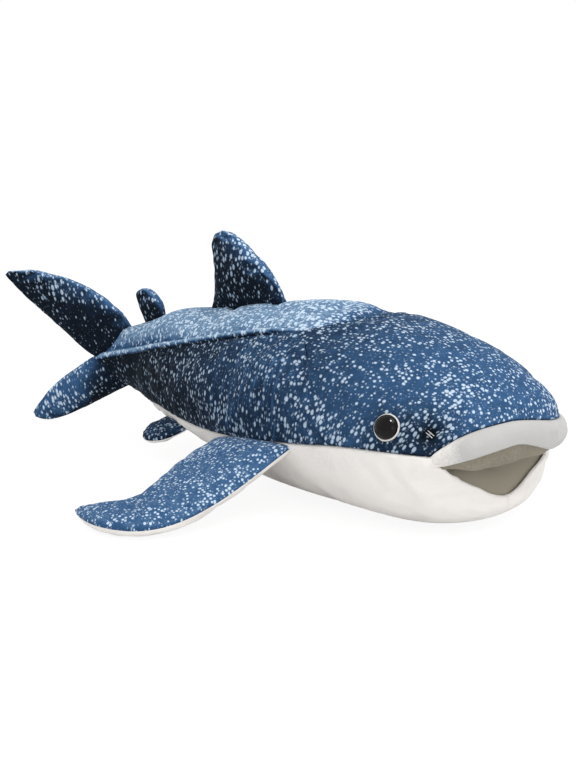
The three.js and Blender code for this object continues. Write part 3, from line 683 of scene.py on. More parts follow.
def closed_sheet(name, outer, inner, prints, shade=None):
    """Two grids and a border round both. Shade, stored with the points, is painted light and shade: how much
    paler or darker the cloth is painted there.
    """
    rows, cols = outer.shape[:2]
    count = rows * cols
    index = np.arange(count).reshape(rows, cols)
    rim = np.concatenate([index[0, :-1], index[:-1, -1], index[-1, :0:-1], index[:0:-1, 0]])
    around = np.stack([rim, np.roll(rim, -1)], -1)
    sides = [[int(b), int(a), int(a) + count, int(b) + count] for a, b in around]
    top = grid_faces(rows, cols)
    under = [[i + count for i in face[::-1]] for face in top]
    points = np.concatenate([outer.reshape(-1, 3), inner.reshape(-1, 3)])
    made = mesh_object(name, points, top + under + sides, np.concatenate([prints, prints]))
    shade = np.zeros((rows, cols)) if shade is None else np.broadcast_to(shade, (rows, cols))
    stored = made.data.attributes.new("shade", "FLOAT", "POINT")
    stored.data.foreach_set("value", np.tile(shade.ravel(), 2).astype(np.float32))
    tidy = bmesh.new()
    tidy.from_mesh(made.data)
    bmesh.ops.remove_doubles(tidy, verts=tidy.verts, dist=WELD * MM)
    bmesh.ops.recalc_face_normals(tidy, faces=tidy.faces)
    for edge in tidy.edges:
        edge.smooth = edge.calc_face_angle(0) < SHARP
    tidy.to_mesh(made.data)
    tidy.free()
    return made


pieces = {}


def keep_piece(made, slot, *nodes, body="body", fill=0.8):
    """Notes a finished plush piece: what it stands for, its finish and the body it rides on."""
    pieces[made.name] = (made, slot, nodes, body, fill)
    flat = np.empty(2 * len(made.data.loops), np.float32)
    made.data.uv_layers["print"].data.foreach_get("uv", flat)
    long, wide = np.ptp(flat.reshape(-1, 2), axis=0) / MM
    print(made.name, len(made.data.polygons), f"faces, cloth about {long:.0f} x {wide:.0f} mm")
    return made


# %% [markdown]
# The back panel is cut in one piece from the tail to a rounded tongue on the head. Its long edges stand
# up as keels, since the cloth is rolled over at that seam, and two faint creases run beside each. A keel
# leans outward and hides the top of the flank, so it is a raised edge of the grid and not a bump in the
# material.

# %% Back panel
KEEL_RADIUS = 1.5
KEEL_HEIGHT = 3.2
KEEL_LEAN = 2.0
KEEL_RUN_OUT = 18.0
KEEL_STEPS = (0.3, 0.6, 1.0, 1.4, 1.9, 2.4, 2.9, 3.4, 3.8, 4.4, 5.4, 6.6)
TONGUE_ROUND = 1.2
CREASE = 13.0
FAR_CREASE = 24.0
HOLLOW = 5.5
HUMP_X = -160.0
HUMP_HEIGHT = 4.0
HUMP_REACH = 26.0


def keel_rise(x):
    """1 along the standing keel, falling to 0 where it runs out on the shoulder."""
    return 1 - ease(x, KEEL_FRONT_X - KEEL_RUN_OUT, KEEL_FRONT_X + 2)


def back_lift(place, first, last, away, fade):
    """How far the back's cloth stands off: rolled keels, creases beside them and a low hump near the tail."""
    roll = KEEL_HEIGHT * np.sqrt(np.maximum(1 - (away / KEEL_RADIUS - 1) ** 2, 0))
    folds = 0.45 * ridge(away, CREASE, 1.6) + 0.3 * ridge(away, FAR_CREASE, 1.8)
    hollow = 1.3 * ridge(away, HOLLOW, 2.6)
    edge = round_over(np.minimum(away, last), TONGUE_ROUND)
    lift = fade * (roll + folds - hollow) - (1 - 0.6 * fade) * edge
    lift = lift + gathers(first, away, 3, size=0.5, length=9.0) - round_over(first, SEAM_ROUND)
    return lift + HUMP_HEIGHT * ridge(place[..., 0], HUMP_X, HUMP_REACH) * (1 - ridge(away, 0, 9))


def back_shade(away, fade):
    """Painted highlight on the keel's roll and the creases, and painted shade in the hollow beside the keel
    and in its seam.
    """
    lines = 0.14 * ridge(away, CREASE, 0.9) + 0.12 * ridge(away, FAR_CREASE, 0.9)
    welt = 0.3 * ridge(away, 1.7, 0.9) - 0.5 * ridge(away, 4.4, 1.5)
    return fade * (welt + lines - 0.9 * ridge(away, 0, 0.4))


def back_panel():
    rear = blend_of(TAIL_X, KEEL_FRONT_X, spaced(193, end=False))
    shares = KEEL_SHARE * (1 - spaced(36, start=False)[1:]) + 0.002
    x = np.concatenate([rear, tongue_x(shares)])
    edge = np.concatenate([keel_share(rear), shares])
    across = 2 * spaced(80, close=KEEL_STEPS) - 1
    turn = across[None, :] * (edge * belly_turn(x))[:, None]
    place = skin(np.broadcast_to(x[:, None], turn.shape), turn)
    first, last, left, right = edge_distances(place)
    away = np.minimum(left, right)
    fade = keel_rise(x)[:, None]
    p = cushioned(place) + back_lift(place, first, last, away, fade)[..., None] * outward(place)
    sideways = unit(np.gradient(place, axis=1)) * np.sign(across)[None, :, None]
    p = p + (KEEL_LEAN * fade * np.exp(-away / 3.0))[..., None] * sideways
    return panel_solid("back_panel_plush", stalk(p), left - right, first, back_shade(away, fade))


keep_piece(back_panel(), "spotted_blue_plush", "back_panel", "trunk_fill")

# %% [markdown]
# Each side panel hangs from a keel and ends at the belly seam. Its front edge is longer than the seam
# that it is sewn to, so the flank has shallow upright pleats behind the head. Waves that fade with the
# distance from the seam give them, and one function makes both sides.

# %% Side panels
KEEL_TUCK = 3.0
PLEAT_DEPTH = 0.3
PLEAT_PITCH = 6.5


def side_panel(side):
    along = spaced(240)
    parts = spaced(86)
    x = TAIL_X + along[:, None] * (shoulder_x(parts) - TAIL_X)[None, :]
    share = blend_of(keel_share(x), 1, parts[None, :])
    place = skin(x, share * belly_turn(x))
    first, last, keel, belly = edge_distances(place)
    tucked = keel_rise(x)
    sunk = round_over(np.minimum(first, belly), SEAM_ROUND)
    sunk = sunk + round_over(keel, KEEL_TUCK) * (0.1 + 0.75 * tucked)
    pleats = gathers(keel, last, 11, size=0.5, length=15.0, reach=14.0)
    pleats = pleats + gathers(first, keel, 12, size=0.5, length=10.0) + gathers(first, belly, 13, size=0.35)
    wander = 0.8 * np.sin(keel / 17)
    lines = PLEAT_DEPTH * np.sin(2 * np.pi * last / PLEAT_PITCH + wander) * ridge(last, 16, 14)
    p = cushioned(place) + (pleats + lines - sunk)[..., None] * outward(place)
    name = "left_side_panel" if side > 0 else "right_side_panel"
    # Painted shade under the leaning keel, in the tuck of its seam.
    shade = -0.7 * tucked * ridge(keel, 0, 1.8)
    made = panel_solid(name + "_plush", stalk(p * [1, side, 1]), first, keel, shade)
    return keep_piece(made, "spotted_blue_plush", name)


for side in (-1, 1):
    side_panel(side)

# %% [markdown]
# The head panel wraps the head from the shoulder seams to the lip. Thread pulls it in behind the eyes and at
# two nostril tucks, so the cloth dips there and short folds run out from each tuck. Shade is painted round
# the tucks and the eyes. The dips are wells in the panel's own grid, which needs no extra piece and leaves no
# joint.

# %% Head panel
SOCKET_DEPTH = 0.9
SOCKET_REACH = 12.0
NOSTRIL_DEPTH = 3.0
NOSTRIL_REACH = 3.4
TUCK_DEPTH = 1.2
TUCK_REACH = 11.0
TUCK_FOLD = 1.2
CHEEK_REACH = 9.0


def dimple(p, place, reach):
    return ridge(np.linalg.norm(p - place, axis=-1), 0, reach)


def tuck_folds(p, place):
    """Short folds that run out from a stitched tuck."""
    offset = p - place
    angle = np.arctan2(offset[..., 2], offset[..., 0])
    reach = np.linalg.norm(offset, axis=-1)
    return TUCK_FOLD * np.cos(4 * angle + 0.7) * ridge(reach, 6.5, 4.5)


def head_shade(place, x, belly):
    """Painted shade: darker round the tucks and the eyes and along the cheek's seam, where shade falls."""
    shade = sum(-0.4 * dimple(place, tuck, 4.5) - 0.42 * dimple(place, tuck, 15.0) for tuck in tucks)
    shade = shade - 0.2 * sum(dimple(place, socket, 16.0) for socket in sockets)
    return shade - 0.25 * ridge(belly, 0, CHEEK_REACH) * ease(x, 45, 75)


def head_panel():
    half = spaced(128, start=False)
    share = np.concatenate([-half[:0:-1], half])
    size = np.abs(share)
    part = np.maximum((size - KEEL_SHARE) / (1 - KEEL_SHARE), 0)
    rear = np.where(size < KEEL_SHARE, tongue_x(size), shoulder_x(part))
    front = lip_seam_x(share)
    along = spaced(120)
    along = blend_of(along, 1 - (1 - along) ** 1.35, ease(along, 0, 0.3))
    x = rear[:, None] + (front - rear)[:, None] * along[None, :]
    place = skin(x, share[:, None] * belly_turn(x))
    low, high, back, lip = edge_distances(place)
    belly = np.minimum(low, high)
    on_tongue = (size < KEEL_SHARE)[:, None]
    sunk = round_over(np.minimum(belly, lip), SEAM_ROUND) + 0.2 * round_over(back, 1.0) * on_tongue
    folds = gathers(belly, back, 21, size=0.4, length=12.0) + gathers(low, lip, 22, size=0.35, length=6.0)
    folds = folds + gathers(back, belly, 23, size=0.3)
    for socket in sockets:
        sunk = sunk + SOCKET_DEPTH * dimple(place, socket, SOCKET_REACH)
    for tuck in tucks:
        sunk = sunk + NOSTRIL_DEPTH * dimple(place, tuck, NOSTRIL_REACH)
        sunk = sunk + TUCK_DEPTH * dimple(place, tuck, TUCK_REACH)
        folds = folds + tuck_folds(place, tuck)
    p = cushioned(place) + (folds - sunk)[..., None] * outward(place)
    return panel_solid("head_panel_plush", p, lip, low, head_shade(place, x, belly))


keep_piece(head_panel(), "spotted_blue_plush", "head_panel", "head_fill")

# %% [markdown]
# The belly is one white panel from the tail to the rim of the lower jaw, where its edge rolls over into
# the mouth. A short dart in the chin turns the flat cloth round the front. The toy lies on this panel, so
# no point of it may sink below the floor.

# %% Belly panel
RIM_ROLL = 1.8
DART_WIDTH = 1.3
DART_DEPTH = 1.3
DART_LENGTH = 15.0
CORNER_DIP = 1.2
CORNER_REACH = 9.0
FLOOR_GAP = 0.05


def belly_panel():
    half = spaced(92, start=True, end=False)
    part = np.concatenate([half, 2 - half[-2::-1]])
    side = np.where(part <= 1, -1, 1)
    part = np.where(part <= 1, part, 2 - part)
    front = belly_front_x(part)
    along = spaced(310, step=2.6)
    along = blend_of(along, 1 - (1 - along) ** 1.5, ease(along, 0, 0.4))
    x = TAIL_X + (front - TAIL_X)[:, None] * along[None, :]
    place = skin(x, side[:, None] * blend_of(belly_turn(x), np.pi, part[:, None]))
    low, high, back, rim = edge_distances(place)
    seam = np.minimum(low, high)
    open_rim = ease(part, corner_part - 0.01, corner_part + 0.02)[:, None]
    sunk = round_over(np.minimum(seam, back), SEAM_ROUND) + open_rim * round_over(rim, RIM_ROLL)
    folds = gathers(back, seam, 31, size=0.4, length=9.0)
    folds = folds + open_rim * gathers(low, rim, 32, size=0.3, length=8.0)
    in_front = place[..., 0] > HEAD_X
    dart = ridge(place[..., 1], 0, DART_WIDTH) * (1 - ease(rim, 2, DART_LENGTH)) * in_front
    on_left = place * [1, 0, 1] + np.abs(place) * [0, 1, 0]
    lift = folds - sunk - DART_DEPTH * dart - CORNER_DIP * dimple(on_left, corner, CORNER_REACH)
    p = cushioned(place) + lift[..., None] * outward(place)
    p[..., 2] = np.maximum(p[..., 2], FLOOR_GAP)
    # The dart's crease is painted in shade.
    return panel_solid("belly_panel_plush", stalk(p), back, low, -0.5 * dart)


keep_piece(belly_panel(), "white_plush", "belly_panel", "jaw_fill")

# %% [markdown]
# The upper lip is a soft white band that rolls under into the mouth. At the corners of the mouth it is
# tucked behind the belly cloth, where the two whites meet, and it hangs lower on the left, as the
# photographed one does. The band is a grid between its seam and its free edge, and a few more rows below
# that edge make the roll.

# %% Upper lip
LIP_PUFF = 2.0
LIP_ROLL = 1.8
LIP_FREE = 26.0
LIP_TUCK = 1.8
LIP_STAND_OFF = 0.15
LIP_TURNS = (115, 90, 65, 40, 20)
MOUTH_RADIUS = 75.0
CROWDING = 1.35


def mouth_angles(step, end):
    """Directions from one corner of the mouth to the other, closer together near the corners."""
    count = int(CORNER_ANGLE * MOUTH_RADIUS / step)
    t = np.linspace(-1, 1, 2 * count + 1)
    return np.sin(CROWDING * t) / math.sin(CROWDING) * CORNER_ANGLE * end


def upper_lip():
    edge = mouth_angles(2.0, 1.06)
    last_x = lip_seam_x(np.array(1.0))
    end = float(plan_angle(skin(last_x, belly_turn(last_x)))) / CORNER_ANGLE
    up = spaced(14, step=1.5, start=False)
    angle = edge[:, None] * blend_of(1, end, up[None, :])
    z = blend_of(lip_edge_z(angle), lip_seam_z(angle), up[None, :])
    place = face_of(angle, z)
    first, last, low, high = edge_distances(place)
    ends = np.minimum(first, last)
    free = ease(ends, 1, LIP_FREE)
    puff = LIP_PUFF * np.sin(np.pi * (0.1 + 0.9 * up))[None, :] ** 0.7 * free
    folds = gathers(first, high, 41, size=0.35, length=7.0)
    folds = folds + gathers(first, low, 42, size=0.5, length=9.0, reach=9.0)
    folds = folds * (0.4 + 1.6 * ridge(ends, 16, 12)) * ease(ends, 0, 6)
    tucked = blend_of(-LIP_TUCK, LIP_STAND_OFF, ease(ends, 0, 9))
    lift = puff + folds + tucked - round_over(high, SEAM_ROUND)
    face = cushioned(place) + lift[..., None] * outward(place)
    roll = np.radians(np.array(LIP_TURNS))
    radius = LIP_ROLL * free[:, :1]
    out = unit(outward(place[:, :1]) * [1, 1, 0])
    under = face[:, :1] - out * (radius * (1 - np.cos(roll)))[..., None]
    under[..., 2] = face[:, :1, 2] - radius * np.sin(roll)
    inner = under[:, :1] - out * (3.0 * radius)[..., None] + [0, 0, 1.0]
    p = np.concatenate([inner, under, face], 1)
    first, _, low, _ = edge_distances(p)
    return panel_solid("upper_lip_plush", p, first, low)


keep_piece(upper_lip(), "white_plush", "upper_lip")

# %% [markdown]
# The mouth is a pocket lined with beige cloth, above and below. Both linings are stuffed from behind, so
# they bulge towards each other, and the lower one is pinched in a valley. Each is a grid that runs from
# one corner of the mouth to the other and from the lip or the rim to the end of the pocket, which closes
# at the corners without a cut end.

# %% Tools for the mouth linings
POCKET_DEPTH = 42.0
LIP_INSET = 3.4


def openness(angle):
    """1 in the middle of the mouth and 0 at its corners."""
    return np.maximum(np.cos(corner_share(angle) * np.pi / 2), 0)[:, None]


def mouth_path(angle, inset, z):
    """Points inside the mouth: inset from the face towards the middle of the head, at their own heights."""
    start = face_of(angle, CORNER_Z + 0 * angle)
    inward = np.stack([-np.cos(angle), -np.sin(angle), 0 * angle], -1)
    p = start[:, None] + inward[:, None] * inset[..., None]
    p[..., 2] = z
    return p


def lining_solid(name, p, lift):
    first, _, start, _ = edge_distances(p)
    return closed_sheet(name, p, p + [0, 0, lift], np.stack([first, start], -1))


print("palate points from corner to corner", len(mouth_angles(2.0, 0.95)))

# %% Palate
PALATE_OVERLAP = 2.7
PALATE_BULGE = 2.0
PALATE_HANG = 4.0
PALATE_ROLL = 13.0
PALATE_REAR = 0.8


def palate_lining():
    """Hangs from the lip as a thick soft roll, then runs back to the end of the pocket."""
    angle = mouth_angles(2.0, 0.95)
    open_share = openness(angle)

    def at(inset, z):
        return np.stack(np.broadcast_arrays(inset + 0 * open_share, z + 0 * open_share), -1)

    lip_z = (lip_edge_z(angle) + PALATE_OVERLAP)[:, None]
    low_z = CORNER_Z - PALATE_HANG * open_share**0.6
    overhang = face_of(angle, lip_edge_z(angle)) - face_of(angle, CORNER_Z + 0 * angle)
    start = LIP_INSET - np.linalg.norm(overhang[:, :2], axis=1)[:, None]
    under = LIP_INSET + PALATE_ROLL * open_share
    end = LIP_INSET + POCKET_DEPTH * open_share**0.7
    roll = bezier(
        at(start, lip_z),
        at(start - PALATE_BULGE * open_share, blend_of(lip_z, low_z, 0.8)),
        at(LIP_INSET, low_z - 1.2 * open_share),
        at(under, low_z),
        np.linspace(0, 1, 17)[None, :],
    )
    run = bezier(
        at(under, low_z),
        at(blend_of(under, end, 0.35), low_z + 0.4),
        at(blend_of(under, end, 0.7), CORNER_Z + PALATE_REAR),
        at(end, CORNER_Z + PALATE_REAR),
        np.linspace(0, 1, 13)[None, 1:],
    )
    path = np.concatenate([roll, run], 1)
    p = mouth_path(angle, path[..., 0], path[..., 1])
    first, _, away, _ = edge_distances(p)
    p[..., 2] -= gathers(first, away, 51, size=0.7, length=15.0, reach=16.0)
    return lining_solid("palate_lining_cloth", p, CLOTH)


keep_piece(palate_lining(), "mouth_lining", "palate_lining", fill=0.6)

# %% Floor of the mouth
FLOOR_PUFF = 8.5
FLOOR_INSET = 1.6
RIM_INSET = 3.4
CORNER_INSET = 5.4
RIM_DROP = 0.6
REAR_DROP = 1.2
PALATE_GAP = 0.6
VALLEY_DEPTH = 2.6
VALLEY_WIDTH = 2.6


def jaw_lining():
    """Rises from the lower jaw's rim to the back of the pocket, with a pinched valley near its middle."""
    angle = mouth_angles(2.0, 0.97)
    open_share = openness(angle)
    s = np.linspace(0, 1, 27)[None, :]
    back_z = CORNER_Z - REAR_DROP
    rim = face_of(angle, rim_z(angle))
    set_in = np.linalg.norm((face_of(angle, CORNER_Z + 0 * angle) - rim)[:, :2], axis=1)[:, None]
    start = set_in + blend_of(CORNER_INSET, RIM_INSET, open_share**0.5) + FLOOR_INSET * open_share**0.5
    inset = start + (POCKET_DEPTH * open_share**0.7 - set_in) * s
    rim_height = np.minimum(rim_z(angle) - RIM_DROP, back_z)[:, None]
    z = blend_of(rim_height, back_z, s) + FLOOR_PUFF * open_share**1.3 * np.sin(np.pi * s) ** 0.8
    bend = np.degrees(angle)[:, None] + 3 + 16 * (s - 0.35)
    z = z - VALLEY_DEPTH * ridge(bend, 0, VALLEY_WIDTH) * ease(s, 0.22, 0.5) * (1 - ease(s, 0.85, 1))
    z = np.minimum(z, CORNER_Z - PALATE_GAP)
    p = mouth_path(angle, inset, z)
    return lining_solid("jaw_lining_cloth", p, -CLOTH)


keep_piece(jaw_lining(), "mouth_lining", "jaw_lining", fill=0.6)

# %% [markdown]
# A fin is two cut shapes sewn round their edge and stuffed, so it is thickest near its leading edge and
# thin at the seam. The two faces start as shallow copies of the outline, and pressure fills them out
# while the seam is held. Each fin runs a little way into the body, where it is sewn on.

# %% Outline of a fin
ROOT_STAND_OFF = 1.6
TIP_START = 0.84
TIP_END = 1.01


def edge_line(start, end, size, *bends):
    """A fin's edge from its root to its tip, bent towards shares of the fin's sweep and span."""
    start, end, size = np.array(start), np.array(end), np.array(size)
    first, second = (start + np.array(bend) * size for bend in bends)
    return lambda u: bezier(start, first, second, end, u)


def ruled(leading, trailing):
    """Points between two edges, with the tip rounded off."""
    def at(u, v):
        tip = ramp(u, TIP_START, TIP_END)
        width = np.sqrt(np.maximum(1 - tip**2, 0.0))
        a, b = leading(np.minimum(u, 1)), trailing(np.minimum(u, 1))
        return a + (b - a) * (0.5 + (v - 0.5) * width)[..., None]

    return at


def on_skin(x, turn):
    place = skin(np.array(float(x)), np.array(float(turn)))
    return place + ROOT_STAND_OFF * outward(place)


print("a fin's root stands", ROOT_STAND_OFF, "mm off the skin")


# %% The two faces of a fin
ROOT_DEPTH = 5.0
FIN_STEP = 2.9
THICKEST = 0.35
TIP_THINNING = 0.45
ROOT_NARROWING = (0.45, 0.8)


def fin_normals(middle, u, v):
    """The direction square to a fin's middle surface, and the direction along it away from the root."""
    u = np.minimum(u, 0.96)
    e = 0.01
    along = middle(u + e, v) - middle(u, v)
    across = middle(u, np.minimum(v + e, 1)) - middle(u, np.maximum(v - e, 0))
    return unit(np.cross(across, along)), unit(along)


def fin_pair(name, middle, root, swell, long, wide, seed, lead=0.75, dent=None):
    """The two cloth faces of a fin, which share their border. Rows run from the root out to the tip."""
    u = 1 - (1 - np.linspace(0, 1, int(long / FIN_STEP) + 1)) ** 1.25
    v = (1 - np.cos(np.linspace(0, np.pi, int(wide / FIN_STEP) + 6))) / 2
    uu, vv = np.meshgrid(u, v, indexing="ij")
    p = middle(uu, vv)
    normal, along = fin_normals(middle, uu, vv)
    thick = blend_of(root, swell, ramp(u, 0, THICKEST)) * (1 - TIP_THINNING * ramp(u, THICKEST, 1) ** 1.6)
    crown = np.sqrt(np.maximum(1 - np.abs(2 * v**lead - 1) ** 2.4, 0))
    tip = np.sqrt(np.maximum(1 - ramp(u, 0.82, 1.0) ** 2.5, 0))
    half = (thick * tip)[:, None] * crown[None, :]
    if dent is not None:
        p = p - dent(uu, vv)[..., None] * normal
    inward = -along[:1]
    p = np.concatenate([p[:1] + inward * ROOT_DEPTH, p[:1] + inward * ROOT_DEPTH / 2, p])
    normal = np.concatenate([normal[:1], normal[:1], normal])
    half = np.concatenate([*(half[:1] * narrow for narrow in ROOT_NARROWING), half])
    return stuffed_fin(name, p, normal, half, seed)


# %% Stuff a fin
FIN_START = 0.92
FIN_CAP = 1.3
FIN_GROWTH = 0.012
FIN_FRAMES = 16
FIN_BENDING = 0.6
ROOT_ROWS = 3
UNDER_FOLD = 0.6


def stuffed_fin(name, p, normal, half, seed):
    """Blows up a fin from a flatter start, with its border and root held."""
    rows, cols = half.shape
    index = np.arange(rows * cols).reshape(rows, cols)
    lower = index + rows * cols
    lower[:, 0] = index[:, 0]
    lower[:, -1] = index[:, -1]
    lower[-1] = index[-1]

    def quads(ids, order):
        return [[int(ids[i + a, j + b]) for a, b in order] for i in range(rows - 1) for j in range(cols - 1)]

    top = quads(index, ((0, 0), (0, 1), (1, 1), (1, 0)))
    low = quads(lower, ((0, 0), (1, 0), (1, 1), (0, 1)))
    start = FIN_START * half[..., None] * normal
    points = np.concatenate([(p + start).reshape(-1, 3), (p - start).reshape(-1, 3)])
    first, last, lead, trail = edge_distances(p)
    prints = np.stack([first, lead], -1).reshape(-1, 2)
    made = mesh_object(name, points, top + low, np.concatenate([prints, prints]))
    made.data.polygons.foreach_set("material_index", [0] * len(top) + [1] * len(low))
    border = np.zeros((rows, cols))
    border[:, 0] = border[:, -1] = border[-1] = 1
    border[:ROOT_ROWS] = 1
    held = np.tile(border.ravel(), 2)
    moved = capped(blow_up(made, held, PRESSURE, FIN_GROWTH, FIN_FRAMES, FIN_BENDING), FIN_CAP)
    fold = gathers(first, np.minimum(np.minimum(lead, trail), last), seed, size=0.5, length=8.0)
    fold[:ROOT_ROWS] = 0
    over = (fold[..., None] * normal).reshape(-1, 3)
    under = (-UNDER_FOLD * fold[..., None] * normal).reshape(-1, 3)
    settled = points + moved + np.concatenate([over, under])
    made.data.vertices.foreach_set("co", (settled * MM).astype(np.float32).ravel())
    return finished_fin(made)


# %% Finish a fin
def evaluated(made):
    """A plain mesh of an object as its modifiers show it."""
    ready = made.evaluated_get(bpy.context.evaluated_depsgraph_get())
    return bpy.data.meshes.new_from_object(ready)


def rest_on_floor(mesh, gap):
    """Flattens what would hang below the floor, as the fin's own weight does."""
    resting = points_of(mesh)
    resting[:, 2] = np.maximum(resting[:, 2], gap)
    mesh.vertices.foreach_set("co", (resting * MM).astype(np.float32).ravel())
    mesh.update()


def finished_fin(made):
    """Welds, smooths and splits a fin into its two cloth faces."""
    tidy = bmesh.new()
    tidy.from_mesh(made.data)
    loose = [v for v in tidy.verts if not v.link_faces]
    bmesh.ops.delete(tidy, geom=loose, context="VERTS")
    bmesh.ops.remove_doubles(tidy, verts=tidy.verts, dist=WELD * MM)
    bmesh.ops.recalc_face_normals(tidy, faces=tidy.faces)
    tidy.to_mesh(made.data)
    tidy.free()
    smooth = made.modifiers.new("smooth", "SUBSURF")
    smooth.levels = smooth.render_levels = 1
    whole = evaluated(made)
    rest_on_floor(whole, FLOOR_GAP)
    faces = []
    for kept, end in ((0, "_over"), (1, "_under")):
        half = bmesh.new()
        half.from_mesh(whole)
        others = [face for face in half.faces if face.material_index != kept]
        bmesh.ops.delete(half, geom=others, context="FACES")
        mesh = bpy.data.meshes.new(made.name + end)
        half.to_mesh(mesh)
        half.free()
        mesh.polygons.foreach_set("material_index", [0] * len(mesh.polygons))
        sheet = bpy.data.objects.new(made.name + end, mesh)
        bpy.context.scene.collection.objects.link(sheet)
        thick = sheet.modifiers.new("cloth", "SOLIDIFY")
        thick.thickness = CLOTH * MM
        thick.offset = -1
        solid = evaluated(sheet)
        rest_on_floor(solid, FLOOR_GAP if kept else FLOOR_GAP + CLOTH / 2)
        sheet.modifiers.clear()
        sheet.data = solid
        faces.append(sheet)
    bpy.data.objects.remove(made)
    return faces


def mirrored(sheet, name):
    """A copy on the toy's other side, with its faces turned so that they still look outward."""
    mesh = sheet.data.copy()
    flipped = bmesh.new()
    flipped.from_mesh(mesh)
    bmesh.ops.scale(flipped, vec=(1, -1, 1), verts=flipped.verts)
    bmesh.ops.reverse_faces(flipped, faces=flipped.faces)
    flipped.to_mesh(mesh)
    flipped.free()
    made = bpy.data.objects.new(name, mesh)
    bpy.context.scene.collection.objects.link(made)
    return made


# %% [markdown]
# The pectoral fins are the largest. Each is blue above and white below, comes out level from the belly
# seam and settles on the floor, with a soft trough where it bends. Its two edges are drawn as curves in
# plan, and its height falls away from the root, because a filled fin hangs like that.

# %% Pectoral fins
PECTORAL_FRONT_X = 5.0
PECTORAL_REAR_X = -69.0
PECTORAL_BELOW_SEAM = math.radians(4)
PECTORAL_SPAN = 90.0
PECTORAL_SWEEP = 89.0
PECTORAL_TIP = 18.0
PECTORAL_REST_Z = 5.8
PECTORAL_HANG = 1.6
ELBOW_DEPTH = 2.8
ELBOW_PLACE = 0.68
ELBOW_WIDTH = 0.08


def root_ends(front_x, rear_x, below):
    """The two ends of a fin's root, a little way round from the right belly seam."""
    return [on_skin(x, -belly_turn(x) - below) for x in (front_x, rear_x)]


pectoral_root = root_ends(PECTORAL_FRONT_X, PECTORAL_REAR_X, PECTORAL_BELOW_SEAM)


def pectoral_middle():
    front, rear = pectoral_root
    size = np.array([-PECTORAL_SWEEP, -PECTORAL_SPAN])
    tip = front[:2] + size
    outline = ruled(
        edge_line(front[:2], tip + [7, -3], size, (0.15, 0.47), (0.06, 1.24)),
        edge_line(rear[:2], tip + [0, PECTORAL_TIP], size, (0.18, 0.38), (-0.32, 0.8)),
    )

    def at(u, v):
        plan = outline(u, v)
        root_z = blend_of(front[2], rear[2], v)
        root_y = blend_of(front[1], rear[1], v)
        out = ramp(root_y - plan[..., 1], 0, PECTORAL_SPAN)
        z = PECTORAL_REST_Z + (root_z - PECTORAL_REST_Z) * (1 - out) ** PECTORAL_HANG
        return np.concatenate([plan, z[..., None]], -1)

    return at


# %% Name the faces of the fins
def add_pair(faces, names, slots, nodes, body):
    for face, name, slot, node in zip(faces, names, slots, nodes):
        face.name = name
        face.data.name = name
        keep_piece(face, slot, *node, body=body)


BLUE_OVER_WHITE = ("spotted_blue_plush", "white_plush")
BLUE_BOTH = ("spotted_blue_plush", "spotted_blue_plush")


def side_fins(fin, faces):
    """Names the right fin's faces and makes the left fin from them."""
    copies = [mirrored(face, f"left_{fin}_{n}") for n, face in enumerate(faces)]
    for side, pair in (("right", faces), ("left", copies)):
        names = [f"{side}_{fin}_{end}_plush" for end in ("top", "under")]
        nodes = [(f"{side}_{fin}_top", f"{side}_{fin}_fill"), (f"{side}_{fin}_under",)]
        add_pair(pair, names, BLUE_OVER_WHITE, nodes, f"{side}_{fin}_fin")


def elbow(u, v):
    """The soft trough where the outer part of the fin turns to lie along the floor."""
    return ELBOW_DEPTH * ridge(u, ELBOW_PLACE, ELBOW_WIDTH) * ease(v, 0.1, 0.55) * (1 - ease(v, 0.7, 1.0))


pectoral_faces = fin_pair("pectoral", pectoral_middle(), 6.2, 8.0, 130, 74, 61, lead=0.8, dent=elbow)
side_fins("pectoral", pectoral_faces)

# %% [markdown]
# The pelvic fins are small flaps under the rear of each flank, blue above and white below. They droop, so
# their outline is drawn flat in a plane that runs through the root and is tipped down.

# %% Pelvic fins
PELVIC_FRONT_X = -119.0
PELVIC_REAR_X = -149.0
PELVIC_BELOW_SEAM = math.radians(13)
PELVIC_SPAN = 21.0
PELVIC_SWEEP = 23.0
PELVIC_TIP = 7.0
PELVIC_DROOP = math.radians(24)

pelvic_root = root_ends(PELVIC_FRONT_X, PELVIC_REAR_X, PELVIC_BELOW_SEAM)


def pelvic_middle():
    front, rear = pelvic_root
    along = unit(rear - front)
    level = unit(np.array([along[1], -along[0], 0]))
    level = -level if level[1] > 0 else level
    out = level * math.cos(PELVIC_DROOP) - np.array([0, 0, math.sin(PELVIC_DROOP)])
    out = unit(out - along * (out @ along))
    size = np.array([PELVIC_SWEEP, PELVIC_SPAN])
    end = np.array([np.linalg.norm(rear - front), 0])
    outline = ruled(
        edge_line((0, 0), size, size, (0.04, 0.48), (0.26, 0.92)),
        edge_line(end, size + [PELVIC_TIP, -PELVIC_TIP], size, (0, 0.24), (0, 0.48)),
    )

    def at(u, v):
        place = outline(u, v)
        return front + place[..., :1] * along + place[..., 1:] * out

    return at


side_fins("pelvic", fin_pair("pelvic", pelvic_middle(), 3.0, 4.6, 34, 32, 62, lead=0.9))

# %% [markdown]
# Two fins stand upright on the back line, blue on both sides. The first is a swept blade and the second a
# small thumb near the tail. One function draws both, since only their sizes and the bends of their edges
# differ.

# %% Dorsal fins
BLADE_BENDS = ((0.16, 0.38), (0.58, 0.82), (-0.1, 0.4), (-0.05, 0.75))
THUMB_BENDS = ((0.1, 0.5), (0.45, 1.0), (0.12, 0.3), (0.3, 0.65))


def upright_fin(front_x, rear_x, sweep, span, tip_width, bends):
    root = [on_skin(x, 0) for x in (front_x, rear_x)]
    front, rear = (p[[0, 2]] for p in root)
    size = np.array([-sweep, span])
    tip = front + size
    outline = ruled(
        edge_line(front, tip, size, *bends[:2]),
        edge_line(rear, tip + [-tip_width, -tip_width / 2], size, *bends[2:]),
    )

    def at(u, v):
        place = outline(u, v)
        return np.stack([place[..., 0], 0 * place[..., 0], place[..., 1]], -1)

    return root, at


